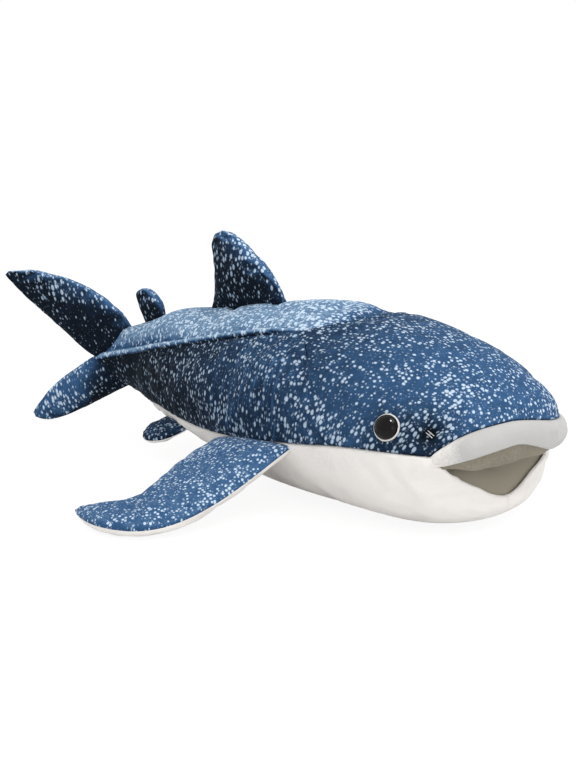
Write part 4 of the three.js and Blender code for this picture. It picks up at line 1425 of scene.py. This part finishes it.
dorsal_root, dorsal_middle = upright_fin(-65.0, -131.0, 54.0, 39.5, 12.0, BLADE_BENDS)
second_root, second_middle = upright_fin(TAIL_X + 37, TAIL_X + 16, 21.0, 15.5, 8.0, THUMB_BENDS)


def upright_pair(fin, faces, body):
    names = [f"{fin}_{side}_plush" for side in ("left", "right")]
    add_pair(faces, names, BLUE_BOTH, [(f"{fin}_left", f"{fin}_fill"), (f"{fin}_right",)], body)


upright_pair("dorsal", fin_pair("dorsal", dorsal_middle, 4.5, 7.4, 60, 66, 63, lead=0.75), "dorsal_fin")
second_faces = fin_pair("second_dorsal", second_middle, 3.4, 5.0, 28, 24, 64)
upright_pair("second_dorsal", second_faces, "second_dorsal_fin")

# %% [markdown]
# The tail is two lobes on one seam, with a split between them, and the photographed tail is turned to the
# toy's right. Each lobe is drawn in the plane of the tail. Its inner edge is a spline through a few
# knots, so the lobes overlap at the seam and part at the notch.

# %% Tail lobes
TAIL_NOTCH = 27.0
UPPER_LOBE = np.array([82.0, 34.0])
LOWER_LOBE = np.array([67.0, -28.0])
UPPER_LOBE_TIP = 6.0
LOWER_LOBE_TIP = 8.0
LOBE_OVERLAP = 3.5

tail_x = TAIL_X - ROOT_STAND_OFF
tail_top = np.array([0, TAIL_TOP_Z + ROOT_STAND_OFF])
tail_bottom = np.array([0, TAIL_BOTTOM_Z])
tail_middle_z = (tail_top[1] + tail_bottom[1]) / 2


def in_tail_plane(outline):
    def at(u, v):
        place = outline(u, v)
        root = np.stack([tail_x + 0 * place[..., 0], 0 * place[..., 0], place[..., 1]], -1)
        return root + place[..., :1] * tail_way

    return at


def split_edge(lift, tip):
    """Along the split between the lobes, then out past the notch to a lobe's tip, as an even spline."""
    bend = np.array([blend_of(TAIL_NOTCH, tip[0], 0.47), blend_of(tail_middle_z, tip[1], 0.46)])
    start = [(0, lift), (0.52 * TAIL_NOTCH, 0.7 * lift - 1), (TAIL_NOTCH, -0.5 * lift - 3)]
    knots = np.array([(x, tail_middle_z + z) for x, z in start] + [bend, tip])
    padded = np.concatenate([2 * knots[:1] - knots[1:2], knots, 2 * knots[-1:] - knots[-2:-1]])

    def at(u):
        u = np.asarray(u, float) * (len(knots) - 1)
        i = np.clip(u.astype(int), 0, len(knots) - 2)
        t = (u - i)[..., None]
        a, b, c, d = (padded[i + k] for k in range(4))
        return b + 0.5 * t * (c - a + t * (2 * a - 5 * b + 4 * c - d + t * (3 * (b - c) + d - a)))

    return at


def upper_lobe():
    tip = tail_top + UPPER_LOBE
    leading = edge_line(tail_top, tip, UPPER_LOBE, (0.15, 0.55), (0.53, 0.98))
    split = split_edge(-LOBE_OVERLAP, tip + [UPPER_LOBE_TIP, -UPPER_LOBE_TIP])
    return in_tail_plane(ruled(leading, split))


def lower_lobe():
    tip = tail_bottom + LOWER_LOBE
    trailing = edge_line(tail_bottom, tip, LOWER_LOBE, (0.33, 0.4), (0.67, 0.97))
    split = split_edge(LOBE_OVERLAP, tip + [LOWER_LOBE_TIP / 2, LOWER_LOBE_TIP])
    return in_tail_plane(ruled(split, trailing))


upright_pair("upper_lobe", fin_pair("upper_lobe", upper_lobe(), 5.0, 7.0, 95, 42, 65, lead=0.75), "tail")
upright_pair("lower_lobe", fin_pair("lower_lobe", lower_lobe(), 5.0, 6.5, 80, 34, 66, lead=1.0), "tail")

# %% [markdown]
# The eyes are moulded plastic domes on a shank, with a pale ring under each. The cloth closes round the
# ring. A dome and a ring are both round, so one profile for each, spun round the eye's own axis, gives an
# even shape.

# %% Eyes
EYE_RADIUS = 7.0
EYE_HEIGHT = 5.4
EYE_BASE = 0.4
RING_RADIUS = 7.7
RING_ROUND = 0.8
EYE_SEAT = 1.5
EYE_WELD = 0.005


def spun(name, profile, place, axis, sides=56):
    """A profile of (radius, height) pairs, from axis to axis, turned round an axis."""
    turn = Vector((0, 0, 1)).rotation_difference(Vector(axis))
    angles = np.linspace(0, 2 * np.pi, sides + 1)[:-1]
    radius, height = np.array(profile).T
    ring = np.stack([np.cos(angles), np.sin(angles)], -1)
    rows = [np.column_stack([r * ring, np.full(sides, h)]) for r, h in zip(radius, height)]
    p = np.concatenate(rows)
    p = p @ np.array(turn.to_matrix()).T + place
    made = mesh_object(name, p, grid_faces(len(profile), sides, wrap=True))
    tidy = bmesh.new()
    tidy.from_mesh(made.data)
    bmesh.ops.remove_doubles(tidy, verts=tidy.verts, dist=EYE_WELD * MM)
    bmesh.ops.recalc_face_normals(tidy, faces=tidy.faces)
    tidy.to_mesh(made.data)
    tidy.free()
    return made


def eye_profiles():
    """Half outlines of the dome and of the ring, as radius and height from the seat."""
    arc = np.radians(np.linspace(0, 90, 18))
    dome = [(0, EYE_BASE), (EYE_RADIUS - 0.4, EYE_BASE), (EYE_RADIUS - 0.1, 0.6)]
    dome += [(EYE_RADIUS * math.cos(a), 1.0 + (EYE_HEIGHT - 0.6) * math.sin(a)) for a in arc[:-1]]
    dome += [(0, EYE_HEIGHT + EYE_BASE)]
    bend = np.radians(np.linspace(-90, 150, 12))
    middle = RING_RADIUS - RING_ROUND
    ring = [(0, -RING_ROUND), (middle, -RING_ROUND)]
    ring += [(middle + RING_ROUND * math.cos(a), EYE_BASE + RING_ROUND * math.sin(a)) for a in bend]
    ring += [(0, 0.5)]
    return dome, ring


eye_pieces = {}
for side, sign in (("right", 1), ("left", -1)):
    seat = eye_seat * [1, sign, 1]
    axis = outward(eye_seat) * [1, sign, 1]
    dome, ring = eye_profiles()
    eye_pieces[f"{side}_eye"] = spun(f"{side}_eye_dome", dome, seat - EYE_SEAT * axis, axis)
    eye_pieces[f"{side}_eye_ring"] = spun(f"{side}_eye_rim", ring, seat - EYE_SEAT * axis, axis)
print("eyes", sorted(eye_pieces))

# %% [markdown]
# Plush is a knitted back with short upright pile. Seen face on, light is lost between the fibres and the
# cloth looks deep. Seen along the surface the fibre tips catch light and it looks pale. A dark base with
# sheen gives that. Painted light and shade, paler where the studio light falls and darker in seams, tucks
# and under the body, are stored with each point of the cloth. The print is pale dots of a few sizes. They
# are balls scattered in space and cut by the cloth, drawn out and leaned as the print is on each part of
# the real toy, so they need no map. Only the brushed stripes of the pile follow the cloth's own map.

# %% Material tools
MATHS = "ShaderNodeMath"
ADD = {"operation": "ADD"}
MULTIPLY = {"operation": "MULTIPLY"}
MULTIPLY_ADD = {"operation": "MULTIPLY_ADD"}
LARGER = {"operation": "MAXIMUM"}


def linear(hex_colour):
    """An sRGB hex colour as a linear RGBA value."""
    parts = [int(hex_colour[i:i + 2], 16) / 255 for i in (1, 3, 5)]
    return tuple(c / 12.92 if c <= 0.04045 else ((c + 0.055) / 1.055) ** 2.4 for c in parts) + (1.0,)


def node(tree, kind, settings=None, stops=(), **links):
    """Adds a node with its settings, and links or sets its inputs by name or by number, as in i0.

    A node that is given as an input means its first output. Stops are the tones of a colour ramp, each
    with its sRGB hex colour.
    """
    made = tree.nodes.new(kind)
    for name, value in (settings or {}).items():
        setattr(made, name, value)
    if stops:
        colours = made.color_ramp.elements
        for colour, (position, shade) in zip(colours, (stops[0], stops[-1])):
            colour.position = position
            colour.color = linear(shade)
        for position, shade in stops[1:-1]:
            colours.new(position).color = linear(shade)
    for name, value in links.items():
        key = int(name[1:]) if name[0] == "i" and name[1:].isdigit() else name.replace("_", " ")
        socket = made.inputs[key]
        if isinstance(value, bpy.types.Node):
            value = value.outputs[0]
        if isinstance(value, bpy.types.NodeSocket):
            tree.links.new(value, socket)
        else:
            socket.default_value = value
    return made


def new_material(name):
    made = bpy.data.materials.new(name)
    made.use_nodes = True
    tree = made.node_tree
    tree.nodes.clear()
    out = tree.nodes.new("ShaderNodeOutputMaterial")
    place = tree.nodes.new("ShaderNodeTexCoord").outputs["Object"]
    return made, tree, out, place


def per_metre(millimetres):
    return 1000.0 / millimetres


print("half grey is", round(linear("#808080")[0], 3), "in linear light")


# %% The printed dots
SPOT_STRETCH = 2.0
SPOT_LEAN = 3.8
LEAN_FROM_X = -20
REAR_LEAN = 0.3
SPOTS = (
    {"pitch": 2.02, "least": 0.3, "most": 0.97, "strength": 1.0, "shift": 0.0},
    {"pitch": 1.36, "least": 0.1, "most": 0.38, "strength": 0.5, "shift": 0.317},
)


def print_grain(tree, place):
    """Leans the print forward on the head and a little back on the flanks, as the cloth was cut."""
    x, y, z = node(tree, "ShaderNodeSeparateXYZ", i0=place).outputs
    ahead = node(tree, MATHS, ADD, i0=x, i1=-LEAN_FROM_X * MM)
    behind = node(tree, MATHS, MULTIPLY, i0=ahead, i1=REAR_LEAN)
    lean = node(tree, MATHS, LARGER, i0=ahead, i1=behind)
    shear = node(tree, MATHS, MULTIPLY, i0=lean, i1=z)
    along = node(tree, MATHS, MULTIPLY_ADD, i0=shear, i1=-SPOT_LEAN, i2=x)
    return node(tree, "ShaderNodeCombineXYZ", i0=along, i1=y, i2=z).outputs[0]


def dot_size(tree, place, lay):
    """Dots are larger in some broad areas than in others, larger where light is painted and smaller in
    painted shade.
    """
    wide = node(tree, "ShaderNodeTexNoise", Vector=place, Scale=per_metre(55.0), Detail=1.0).outputs[0]
    area = node(tree, "ShaderNodeMapRange", Value=wide, From_Min=0.3, From_Max=0.7, To_Min=0.78, To_Max=1.22)
    pale = node(tree, "ShaderNodeMapRange", Value=lay, From_Min=0.4, From_Max=0.85, To_Max=0.35)
    dull = node(tree, "ShaderNodeMapRange", Value=lay, From_Min=-0.3, From_Max=0.05, To_Min=-0.2, To_Max=0.0)
    larger = node(tree, MATHS, ADD, i0=area, i1=pale)
    return node(tree, MATHS, ADD, i0=larger, i1=dull)


def spot_layer(tree, place, swell, pitch, least, most, strength, shift):
    """One size of printed dot: 1 in the dots and 0 between them. Each is a ball in space cut by the cloth."""
    moved = node(tree, "ShaderNodeMapping", Vector=place, Location=(shift, shift / 2, shift / 3),
                 Scale=(1.0, 1.0, 1 / SPOT_STRETCH))
    cells = node(tree, "ShaderNodeTexVoronoi", Vector=moved.outputs[0], Scale=per_metre(pitch),
                 Randomness=0.8)
    chance = node(tree, "ShaderNodeSeparateColor", i0=cells.outputs["Color"]).outputs[0]
    size = node(tree, "ShaderNodeMapRange", Value=chance, To_Min=least / pitch, To_Max=most / pitch)
    size = node(tree, MATHS, MULTIPLY, i0=size, i1=swell)
    inside = node(tree, MATHS, {"operation": "SUBTRACT"}, i0=size, i1=cells.outputs["Distance"])
    dots = node(tree, "ShaderNodeMapRange", {"interpolation_type": "SMOOTHSTEP"}, Value=inside,
                From_Min=-0.15 / pitch, From_Max=0.3 / pitch, To_Max=strength)
    return dots.outputs[0]


print("sizes of dot", len(SPOTS))


# %% The pile
def pile_bump(tree, place, depth, pitch=0.9):
    """The tips of the pile as fine bumps, coarser than fibre so that they show, and the lay of the pile."""
    tips = node(tree, "ShaderNodeTexNoise", Vector=place, Scale=per_metre(pitch), Detail=3.0, Roughness=0.7)
    lay = node(tree, "ShaderNodeTexNoise", Vector=place, Scale=per_metre(14.0), Detail=2.0)
    both = node(tree, MATHS, MULTIPLY_ADD, i0=lay, i1=1.2, i2=tips)
    return node(tree, "ShaderNodeBump", Height=both, Strength=0.55, Distance=depth * MM).outputs[0]


def stripes(tree, fine, long, shift):
    """Noise drawn out along the lay of the pile, which runs along the second direction of the cloth's map."""
    cloth = node(tree, "ShaderNodeAttribute", {"attribute_name": "print"}).outputs["Vector"]
    moved = node(tree, "ShaderNodeMapping", Vector=cloth, Location=(shift, shift, 0.0),
                 Scale=(per_metre(fine), per_metre(long), 1.0))
    return node(tree, "ShaderNodeTexNoise", {"noise_dimensions": "2D"}, Vector=moved.outputs[0], Scale=1.0,
                Detail=2.0).outputs[0]


def pile_tone(tree, place, lay):
    """How pale the pile looks: its painted light and shade, brushed patches and, where it is parted, fine
    lines.
    """
    line = node(tree, MATHS, {"operation": "COMPARE"}, i0=stripes(tree, 9.0, 150.0, 3.7), i1=0.5, i2=0.014)
    line = node(tree, MATHS, MULTIPLY_ADD, i0=stripes(tree, 1.5, 14.0, 0.0), i1=0.6, i2=line)
    parted = node(tree, "ShaderNodeAttribute", {"attribute_name": "parted"}).outputs["Fac"]
    line = node(tree, MATHS, MULTIPLY, i0=line, i1=parted)
    brushed = node(tree, "ShaderNodeTexNoise", Vector=place, Scale=per_metre(7.0), Detail=5.0, Roughness=0.7)
    tone = node(tree, MATHS, MULTIPLY_ADD, i0=brushed, i1=0.55, i2=lay)
    tone = node(tree, MATHS, MULTIPLY_ADD, i0=line, i1=0.32, i2=tone)
    return node(tree, "ShaderNodeMapRange", Value=tone, From_Min=0.15, From_Max=1.4).outputs[0]


# %% Spotted plush
# The blues run from painted shade to painted light, picked by the painted shading and brushed patches.
BLUES = ((0.0, "#0c1520"), (0.2, "#182c44"), (0.55, "#375c86"), (1.0, "#7c9cba"))


def spotted_plush():
    """Gives the eye deep blue pile that is painted pale where light falls and dark where shade falls, with
    soft pale dots on it.
    """
    made, tree, out, place = new_material("polyester_plush_printed_blue")
    lay = node(tree, "ShaderNodeAttribute", {"attribute_name": "nap"}).outputs["Fac"]
    swell = dot_size(tree, place, lay)
    grain = print_grain(tree, place)
    large, small = (spot_layer(tree, grain, swell, **layer) for layer in SPOTS)
    cover = node(tree, MATHS, LARGER, i0=large, i1=small)
    tone = pile_tone(tree, place, lay)
    blue = node(tree, "ShaderNodeValToRGB", stops=BLUES, Fac=tone)
    # The dots are painted whiter where light falls and greyer in painted shade.
    bright = node(tree, "ShaderNodeMapRange", Value=lay, From_Min=-0.3, From_Max=0.6).outputs[0]
    white = node(tree, "ShaderNodeMix", {"data_type": "RGBA"}, i0=bright, i6=linear("#8296ac"),
                 i7=linear("#cbdff2"))
    colour = node(tree, "ShaderNodeMix", {"data_type": "RGBA"}, i0=cover, i6=blue, i7=white.outputs[2])
    shader = node(tree, "ShaderNodeBsdfPrincipled", Base_Color=colour.outputs[2], Roughness=0.92,
                  Specular_IOR_Level=0.1, Sheen_Weight=0.07, Sheen_Roughness=0.3,
                  Sheen_Tint=linear("#c3d6ea"), Normal=pile_bump(tree, place, 0.5))
    tree.links.new(shader.outputs[0], out.inputs[0])
    return made


printed_plush = spotted_plush()
print("printed plush", len(printed_plush.node_tree.nodes), "nodes")

# %% [markdown]
# The belly and the lip are the same plush without a print, and the mouth is lined with a flatter knitted
# cloth. Plain cloth still isn't one flat colour: it is paler and darker in broad patches and from fibre
# to fibre. So one function blends two close colours by both kinds of noise and by the painted shading, for
# white and for beige.

# %% White plush and lining
def plain_plush(name, low, high, sheen, depth, pitch):
    """Gives the eye matt cloth in two close tones, darker in painted shade and paler in painted light."""
    made, tree, out, place = new_material(name)
    patches = node(tree, "ShaderNodeTexNoise", Vector=place, Scale=per_metre(30.0), Detail=5.0, Roughness=0.6)
    fibre = node(tree, "ShaderNodeTexNoise", Vector=place, Scale=per_metre(pitch), Detail=2.0)
    tone = node(tree, MATHS, ADD, i0=fibre, i1=patches)
    tone = node(tree, MATHS, MULTIPLY_ADD, i0=tone, i1=0.4, i2=0.25)
    lay = node(tree, "ShaderNodeAttribute", {"attribute_name": "nap"}).outputs["Fac"]
    tone = node(tree, MATHS, MULTIPLY_ADD, i0=lay, i1=0.4, i2=tone)
    colour = node(tree, "ShaderNodeValToRGB", stops=((0.35, low), (0.75, high)), Fac=tone)
    shader = node(tree, "ShaderNodeBsdfPrincipled", Base_Color=colour, Roughness=0.95,
                  Specular_IOR_Level=0.1, Sheen_Weight=sheen, Sheen_Roughness=0.45,
                  Normal=pile_bump(tree, place, depth, pitch))
    tree.links.new(shader.outputs[0], out.inputs[0])
    return made


white_plush = plain_plush("polyester_plush_white", "#c3c2c0", "#f3efeb", 0.2, 0.35, 0.9)
beige_lining = plain_plush("knitted_lining_beige", "#7d776a", "#a39c8d", 0.1, 0.25, 1.4)
print("plain cloths", white_plush.name, beige_lining.name)

# %% [markdown]
# The eyes are polished black plastic, whose one bright spot makes them look alive. The rings are duller,
# and the same function gives both, with a faint haze so that neither is perfectly clean.

# %% Eye plastic
def plastic(name, low, high, roughness, scale, gloss):
    """Gives the eye a smooth moulded surface, with a faint haze in its colour and gloss."""
    made, tree, out, place = new_material(name)
    haze = node(tree, "ShaderNodeTexNoise", Vector=place, Scale=per_metre(scale), Detail=3.0).outputs[0]
    rough = node(tree, "ShaderNodeMapRange", Value=haze, To_Min=0.7 * roughness, To_Max=1.3 * roughness)
    colour = node(tree, "ShaderNodeValToRGB", stops=((0.0, low), (1.0, high)), Fac=haze)
    shader = node(tree, "ShaderNodeBsdfPrincipled", Base_Color=colour, Roughness=rough, IOR=1.5,
                  Specular_IOR_Level=gloss)
    tree.links.new(shader.outputs[0], out.inputs[0])
    return made


finishes = {
    "spotted_blue_plush": printed_plush,
    "white_plush": white_plush,
    "mouth_lining": beige_lining,
    "eye_gloss": plastic("acrylic_moulded_black", "#050404", "#110d0b", 0.06, 4.0, 0.2),
    "eye_ring": plastic("nylon_moulded_pale", "#d5d1ca", "#ebe8e2", 0.45, 2.0, 0.4),
}
print("materials", sorted(m.name for m in finishes.values()))

# %% [markdown]
# Each nostril is a tuck in the head, drawn in and closed with a few short stitches of pale thread.
# Geometry Nodes lay them in a row along the tuck, so their number and size are inputs of the tree, and
# each stitch is a small bar.

# %% Stitches over the nostril tucks
STITCHES = 2
STITCH_LENGTH = 4.6
STITCH_ROW = 1.5
THREAD_RADIUS = 0.22
STITCH_DEPTH = 3.7
THREAD_SIDES = 6


def stitch_tree():
    tree = bpy.data.node_groups.new("stitches_over_a_tuck", "GeometryNodeTree")
    kinds = {"Start": "Vector", "End": "Vector", "Turn": "Vector", "Count": "Int", "Radius": "Float",
             "Length": "Float", "Thread": "Material"}
    for name, kind in kinds.items():
        tree.interface.new_socket(name, in_out="INPUT", socket_type="NodeSocket" + kind)
    tree.interface.new_socket("Geometry", in_out="OUTPUT", socket_type="NodeSocketGeometry")
    given = tree.nodes.new("NodeGroupInput").outputs
    row = node(tree, "GeometryNodeMeshLine", {"mode": "END_POINTS"}, Count=given["Count"],
               Start_Location=given["Start"], Offset=given["End"])
    bar = node(tree, "GeometryNodeMeshCylinder", Vertices=THREAD_SIDES, Radius=given["Radius"],
               Depth=given["Length"])
    laid = node(tree, "GeometryNodeInstanceOnPoints", Points=row.outputs[0], Instance=bar.outputs[0],
                Rotation=given["Turn"])
    real = node(tree, "GeometryNodeRealizeInstances", Geometry=laid.outputs[0])
    done = node(tree, "GeometryNodeSetMaterial", Geometry=real.outputs[0], Material=given["Thread"])
    tree.links.new(done.outputs[0], tree.nodes.new("NodeGroupOutput").inputs[0])
    return tree


def nostril_stitches(tree, side, sign):
    flip = np.array([1, sign, 1])
    normal = outward(nostril) * flip
    ahead = unit(np.array([1, 0, 0]) - normal[0] * normal)
    above = unit(np.array([0, 0, 1]) - normal[2] * normal)
    way = unit(0.9 * ahead - 0.4 * above)
    row = unit(0.5 * ahead + 0.85 * above) * STITCH_ROW / 2
    middle = nostril * flip - STITCH_DEPTH * normal
    made = bpy.data.objects.new(f"{side}_nostril_stitches", bpy.data.meshes.new("stitches"))
    bpy.context.scene.collection.objects.link(made)
    sewn = made.modifiers.new("sewn", "NODES")
    sewn.node_group = tree
    turn = Vector((0, 0, 1)).rotation_difference(Vector(way)).to_euler()
    sizes = {"Start": (middle - row) * MM, "End": (middle + row) * MM, "Turn": turn, "Count": STITCHES,
             "Radius": THREAD_RADIUS * MM, "Length": STITCH_LENGTH * MM, "Thread": finishes["white_plush"]}
    for socket in tree.interface.items_tree:
        if socket.in_out == "INPUT":
            sewn[socket.identifier] = sizes[socket.name]
    mesh = evaluated(made)
    made.modifiers.clear()
    made.data = mesh
    return made


row_of_stitches = stitch_tree()
stitches = [nostril_stitches(row_of_stitches, side, sign) for side, sign in (("right", 1), ("left", -1))]
print("stitches", [len(made.data.polygons) for made in stitches], "faces")

# %% [markdown]
# Every piece now gets its finish. Pieces on the body ride on it. The panels that run onto the tail's stalk
# count with the tail, and fin cloth, sewn to the body along its root, counts with its fin. For these the line
# where the cloth turns is found, and the piece stays where it is.

# %% Where fin cloth turns
BEND_REACH = 16.0
STALK_PANELS = ("back_panel", "right_side_panel", "left_side_panel", "belly_panel")
roots = {
    "right_pectoral_fin": (pectoral_root, pectoral_middle()),
    "right_pelvic_fin": (pelvic_root, pelvic_middle()),
    "dorsal_fin": (dorsal_root, dorsal_middle),
    "second_dorsal_fin": (second_root, second_middle),
}


def bend_line(body):
    """Where a fin's cloth starts to turn, and where it has turned fully, square to the fin's root."""
    if body == "tail":
        start = np.array([tail_x, 0, tail_middle_z])
        return start, start + BEND_REACH * tail_way
    side = -1 if body.startswith("left") else 1
    (front, rear), middle = roots[body.replace("left", "right")]
    along = unit(rear - front)
    start = (front + rear) / 2
    out = middle(np.array(0.4), np.array(0.5)) - start
    out = unit(out - along * (out @ along))
    reach = min(BEND_REACH, 0.5 * np.linalg.norm(middle(np.array(1.0), np.array(0.5)) - start))
    return start * [1, side, 1], (start + out * reach) * [1, side, 1]


print("tail bends between", *(place.round(1) for place in bend_line("tail")))


# %% Brush the pile
def store_painted_shading(made):
    """Stores the painted light and shade of each point, and where the pile is parted into lines."""
    mesh = made.data
    normal = np.empty(3 * len(mesh.vertices), np.float32)
    mesh.vertices.foreach_get("normal", normal)
    normal = normal.reshape(-1, 3)
    x = points_of(mesh)[:, 0]
    up = normal[:, 2]
    # Painted light and shade: the head is paler, the rear darker, faces turned up paler behind the head and
    # faces turned down darker near the front.
    ahead = ease(x, -40, 105)
    nap = 0.5 * ahead + 0.14 * ease(up, -0.2, 0.5) * (1 - ahead) - 0.27 * ease(-x, 50, 170)
    nap = nap - 0.2 * ease(-up, 0, 0.6) * ease(x, 0, 40)
    parted = np.full(len(x), 0.15)
    # The back is painted pale, as sheen and light from above, and streaked behind the head, and the flank is
    # streaked beside the shoulder seam.
    if made.name.startswith("back_panel"):
        nap = blend_of(0.55 + 0.25 * ease(up, -0.2, 0.7), nap, ease(x, -14, 15))
        parted = 0.2 + 0.8 * (1 - ease(x, -40, 0))
    if "side_panel" in made.name:
        parted = 0.2 + 0.8 * ridge(x, -32, 28)
    # Painted light and shade: upright fins are dark except on their upper edges, which face the light. The
    # lower lobe is painted paler, and dark beside the stalk.
    if "dorsal" in made.name or "upper_lobe" in made.name:
        nap = 0.85 * ease(up, -0.1, 0.9) - 0.16
    if "lower_lobe" in made.name:
        nap = 0.42 + 0.2 * ease(up, -0.1, 0.6) - 0.45 * ease(-up, 0.1, 0.6) - 0.5 * ease(x, -242, -226)
    # Fins that lie flat catch an even light, less of it under the body.
    if "pectoral" in made.name:
        nap = 0.46 + 0.12 * ease(up, 0.1, 0.9)
    if "pelvic" in made.name:
        nap = 0.15 * ease(up, 0.1, 0.9)
    # The lip is bright at its ends and greyer towards the front, and the palate lies in shade.
    if "lip" in made.name:
        nap = blend_of(0.42, -1.0, ease(x, 95, 117))
    if "palate" in made.name:
        nap = 0 * x - 0.45
    # Each panel's own painted shade and highlights are added.
    if "shade" in mesh.attributes:
        shade = np.empty(len(mesh.vertices), np.float32)
        mesh.attributes["shade"].data.foreach_get("value", shade)
        nap = nap + shade
    for name, values in (("nap", nap), ("parted", parted)):
        mesh.attributes.new(name, "FLOAT", "POINT").data.foreach_set("value", values.astype(np.float32))


# %% Dress the cloth
for made, slot, nodes, body, fill in pieces.values():
    store_painted_shading(made)
    made.data.materials.clear()
    made.data.materials.append(finishes[slot])
    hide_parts(*nodes)
    if nodes[0] in STALK_PANELS:
        body = "tail"
    if body == "body":
        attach(made, body)
    else:
        start, end = bend_line(body)
        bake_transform(made)

print("cloth pieces", len(pieces))

# %% Stitches, eyes and washers
for made in stitches:
    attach(made, "body")

for node_name, made in eye_pieces.items():
    slot = "eye_ring" if node_name.endswith("ring") else "eye_gloss"
    made.data.materials.append(finishes[slot])
    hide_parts(node_name)
    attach(made, "body")

washers = [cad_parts[f"{side}_eye_washer"] for side in ("right", "left")]
for washer in washers:
    washer.data.materials.clear()
    washer.data.materials.append(finishes["eye_ring"])
print("pieces in all", len(pieces) + len(stitches) + len(eye_pieces) + len(washers))

# %% [markdown]
# The studio is plain: a pale floor that melts into a white background, one large soft lamp above the head
# and weaker light from all round. The floor shows white to the camera and still takes the toy's soft
# shadow.

# %% Studio
FLOOR_HALF = 12.0
FLOOR_DROP = 0.0004
square = np.array([[-1, -1, 0], [1, -1, 0], [1, 1, 0], [-1, 1, 0]])
floor = mesh_object("floor", square * FLOOR_HALF / MM, [[0, 1, 2, 3]])
floor.location.z = -FLOOR_DROP
paper, tree, out, place = new_material("paper_matt_white")
rays = tree.nodes.new("ShaderNodeLightPath").outputs
seen = node(tree, MATHS, LARGER, i0=rays["Is Camera Ray"], i1=rays["Is Glossy Ray"])
seen = node(tree, MATHS, LARGER, i0=seen, i1=rays["Is Transmission Ray"])
matt = node(tree, "ShaderNodeBsdfDiffuse", Color=linear("#ececec"))
shadow = node(tree, "ShaderNodeBsdfDiffuse", Color=linear("#6e6e6e"))
glow = node(tree, "ShaderNodeEmission", Strength=0.9)
shown = node(tree, "ShaderNodeAddShader", i0=shadow.outputs[0], i1=glow.outputs[0])
mixed = node(tree, "ShaderNodeMixShader", i0=seen, i1=matt.outputs[0], i2=shown.outputs[0])
tree.links.new(mixed.outputs[0], out.inputs[0])
floor.data.materials.append(paper)
floor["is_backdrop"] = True
print("floor", 2 * FLOOR_HALF, "m wide")

# %% Light from all round
world = bpy.data.worlds.new("white_room")
bpy.context.scene.world = world
world.use_nodes = True
tree = world.node_tree
tree.nodes.clear()
rays = tree.nodes.new("ShaderNodeLightPath").outputs
seen = node(tree, MATHS, LARGER, i0=rays["Is Camera Ray"], i1=rays["Is Transmission Ray"])
level = node(tree, "ShaderNodeMapRange", Value=seen, To_Min=0.86, To_Max=1.0)
sky = node(tree, "ShaderNodeBackground", Color=(1, 1, 1, 1), Strength=level.outputs[0])
final = tree.nodes.new("ShaderNodeOutputWorld")
tree.links.new(sky.outputs[0], final.inputs[0])
print("world", world.name)


# %% Lamps
def soft_lamp(name, place, aim, size, power):
    light = bpy.data.lights.new(name, "AREA")
    light.shape = "DISK"
    light.size = size
    light.energy = power
    lamp = bpy.data.objects.new(name, light)
    bpy.context.scene.collection.objects.link(lamp)
    lamp.location = place
    lamp.rotation_euler = (Vector(aim) - Vector(place)).to_track_quat("-Z", "Y").to_euler()
    return lamp


lamps = [
    soft_lamp("overhead_softbox", place=(0.55, 0.1, 1.3), aim=(-0.03, 0, 0.05), size=0.9, power=6.5),
    soft_lamp("front_softbox", place=(1.4, -0.5, 0.5), aim=(0.02, 0, 0.05), size=0.8, power=1.5),
    soft_lamp("catch_light", place=(0.46, -0.17, 1.27), aim=(0.07, -0.06, 0.06), size=0.25, power=11),
]
# The catch light only draws the bright spot on each eye, so the cloth doesn't see it.
lamps[-1].visible_diffuse = False
print("lamps", [lamp.name for lamp in lamps])

# %% [markdown]
# The camera stands where the photograph's perspective puts it: ahead of the right flank and a little
# above. Its distance and its lens were found together, since a nearer camera makes the head larger
# against the tail.

# %% Camera
AZIMUTH = math.radians(44)
ELEVATION = math.radians(14.03)
DISTANCE = 1.0428
TARGET = Vector((-0.063, 0, 0.0543))
FOCAL_LENGTH = 78.2
SENSOR_WIDTH = 36.0
lens = bpy.data.cameras.new("camera")
lens.lens = FOCAL_LENGTH
lens.sensor_width = SENSOR_WIDTH
camera = bpy.data.objects.new("camera", lens)
bpy.context.scene.collection.objects.link(camera)
back = Vector((
    math.sin(AZIMUTH) * math.cos(ELEVATION),
    -math.cos(AZIMUTH) * math.cos(ELEVATION),
    math.sin(ELEVATION),
))
camera.location = TARGET + DISTANCE * back
camera.rotation_euler = (-back).to_track_quat("-Z", "Y").to_euler()
bpy.context.scene.camera = camera
bpy.context.scene.view_settings.view_transform = "Standard"
print("camera", [round(v, 3) for v in camera.location])

# %% [markdown]
# Cloth may stand a little off the solids that it covers, but the toy's size has to stay the imported one.
# The box round all that is shown is printed.

# %% Size of what is shown
low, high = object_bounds()
print("visual box", [round(v / MM, 1) for v in (*low, *high)])
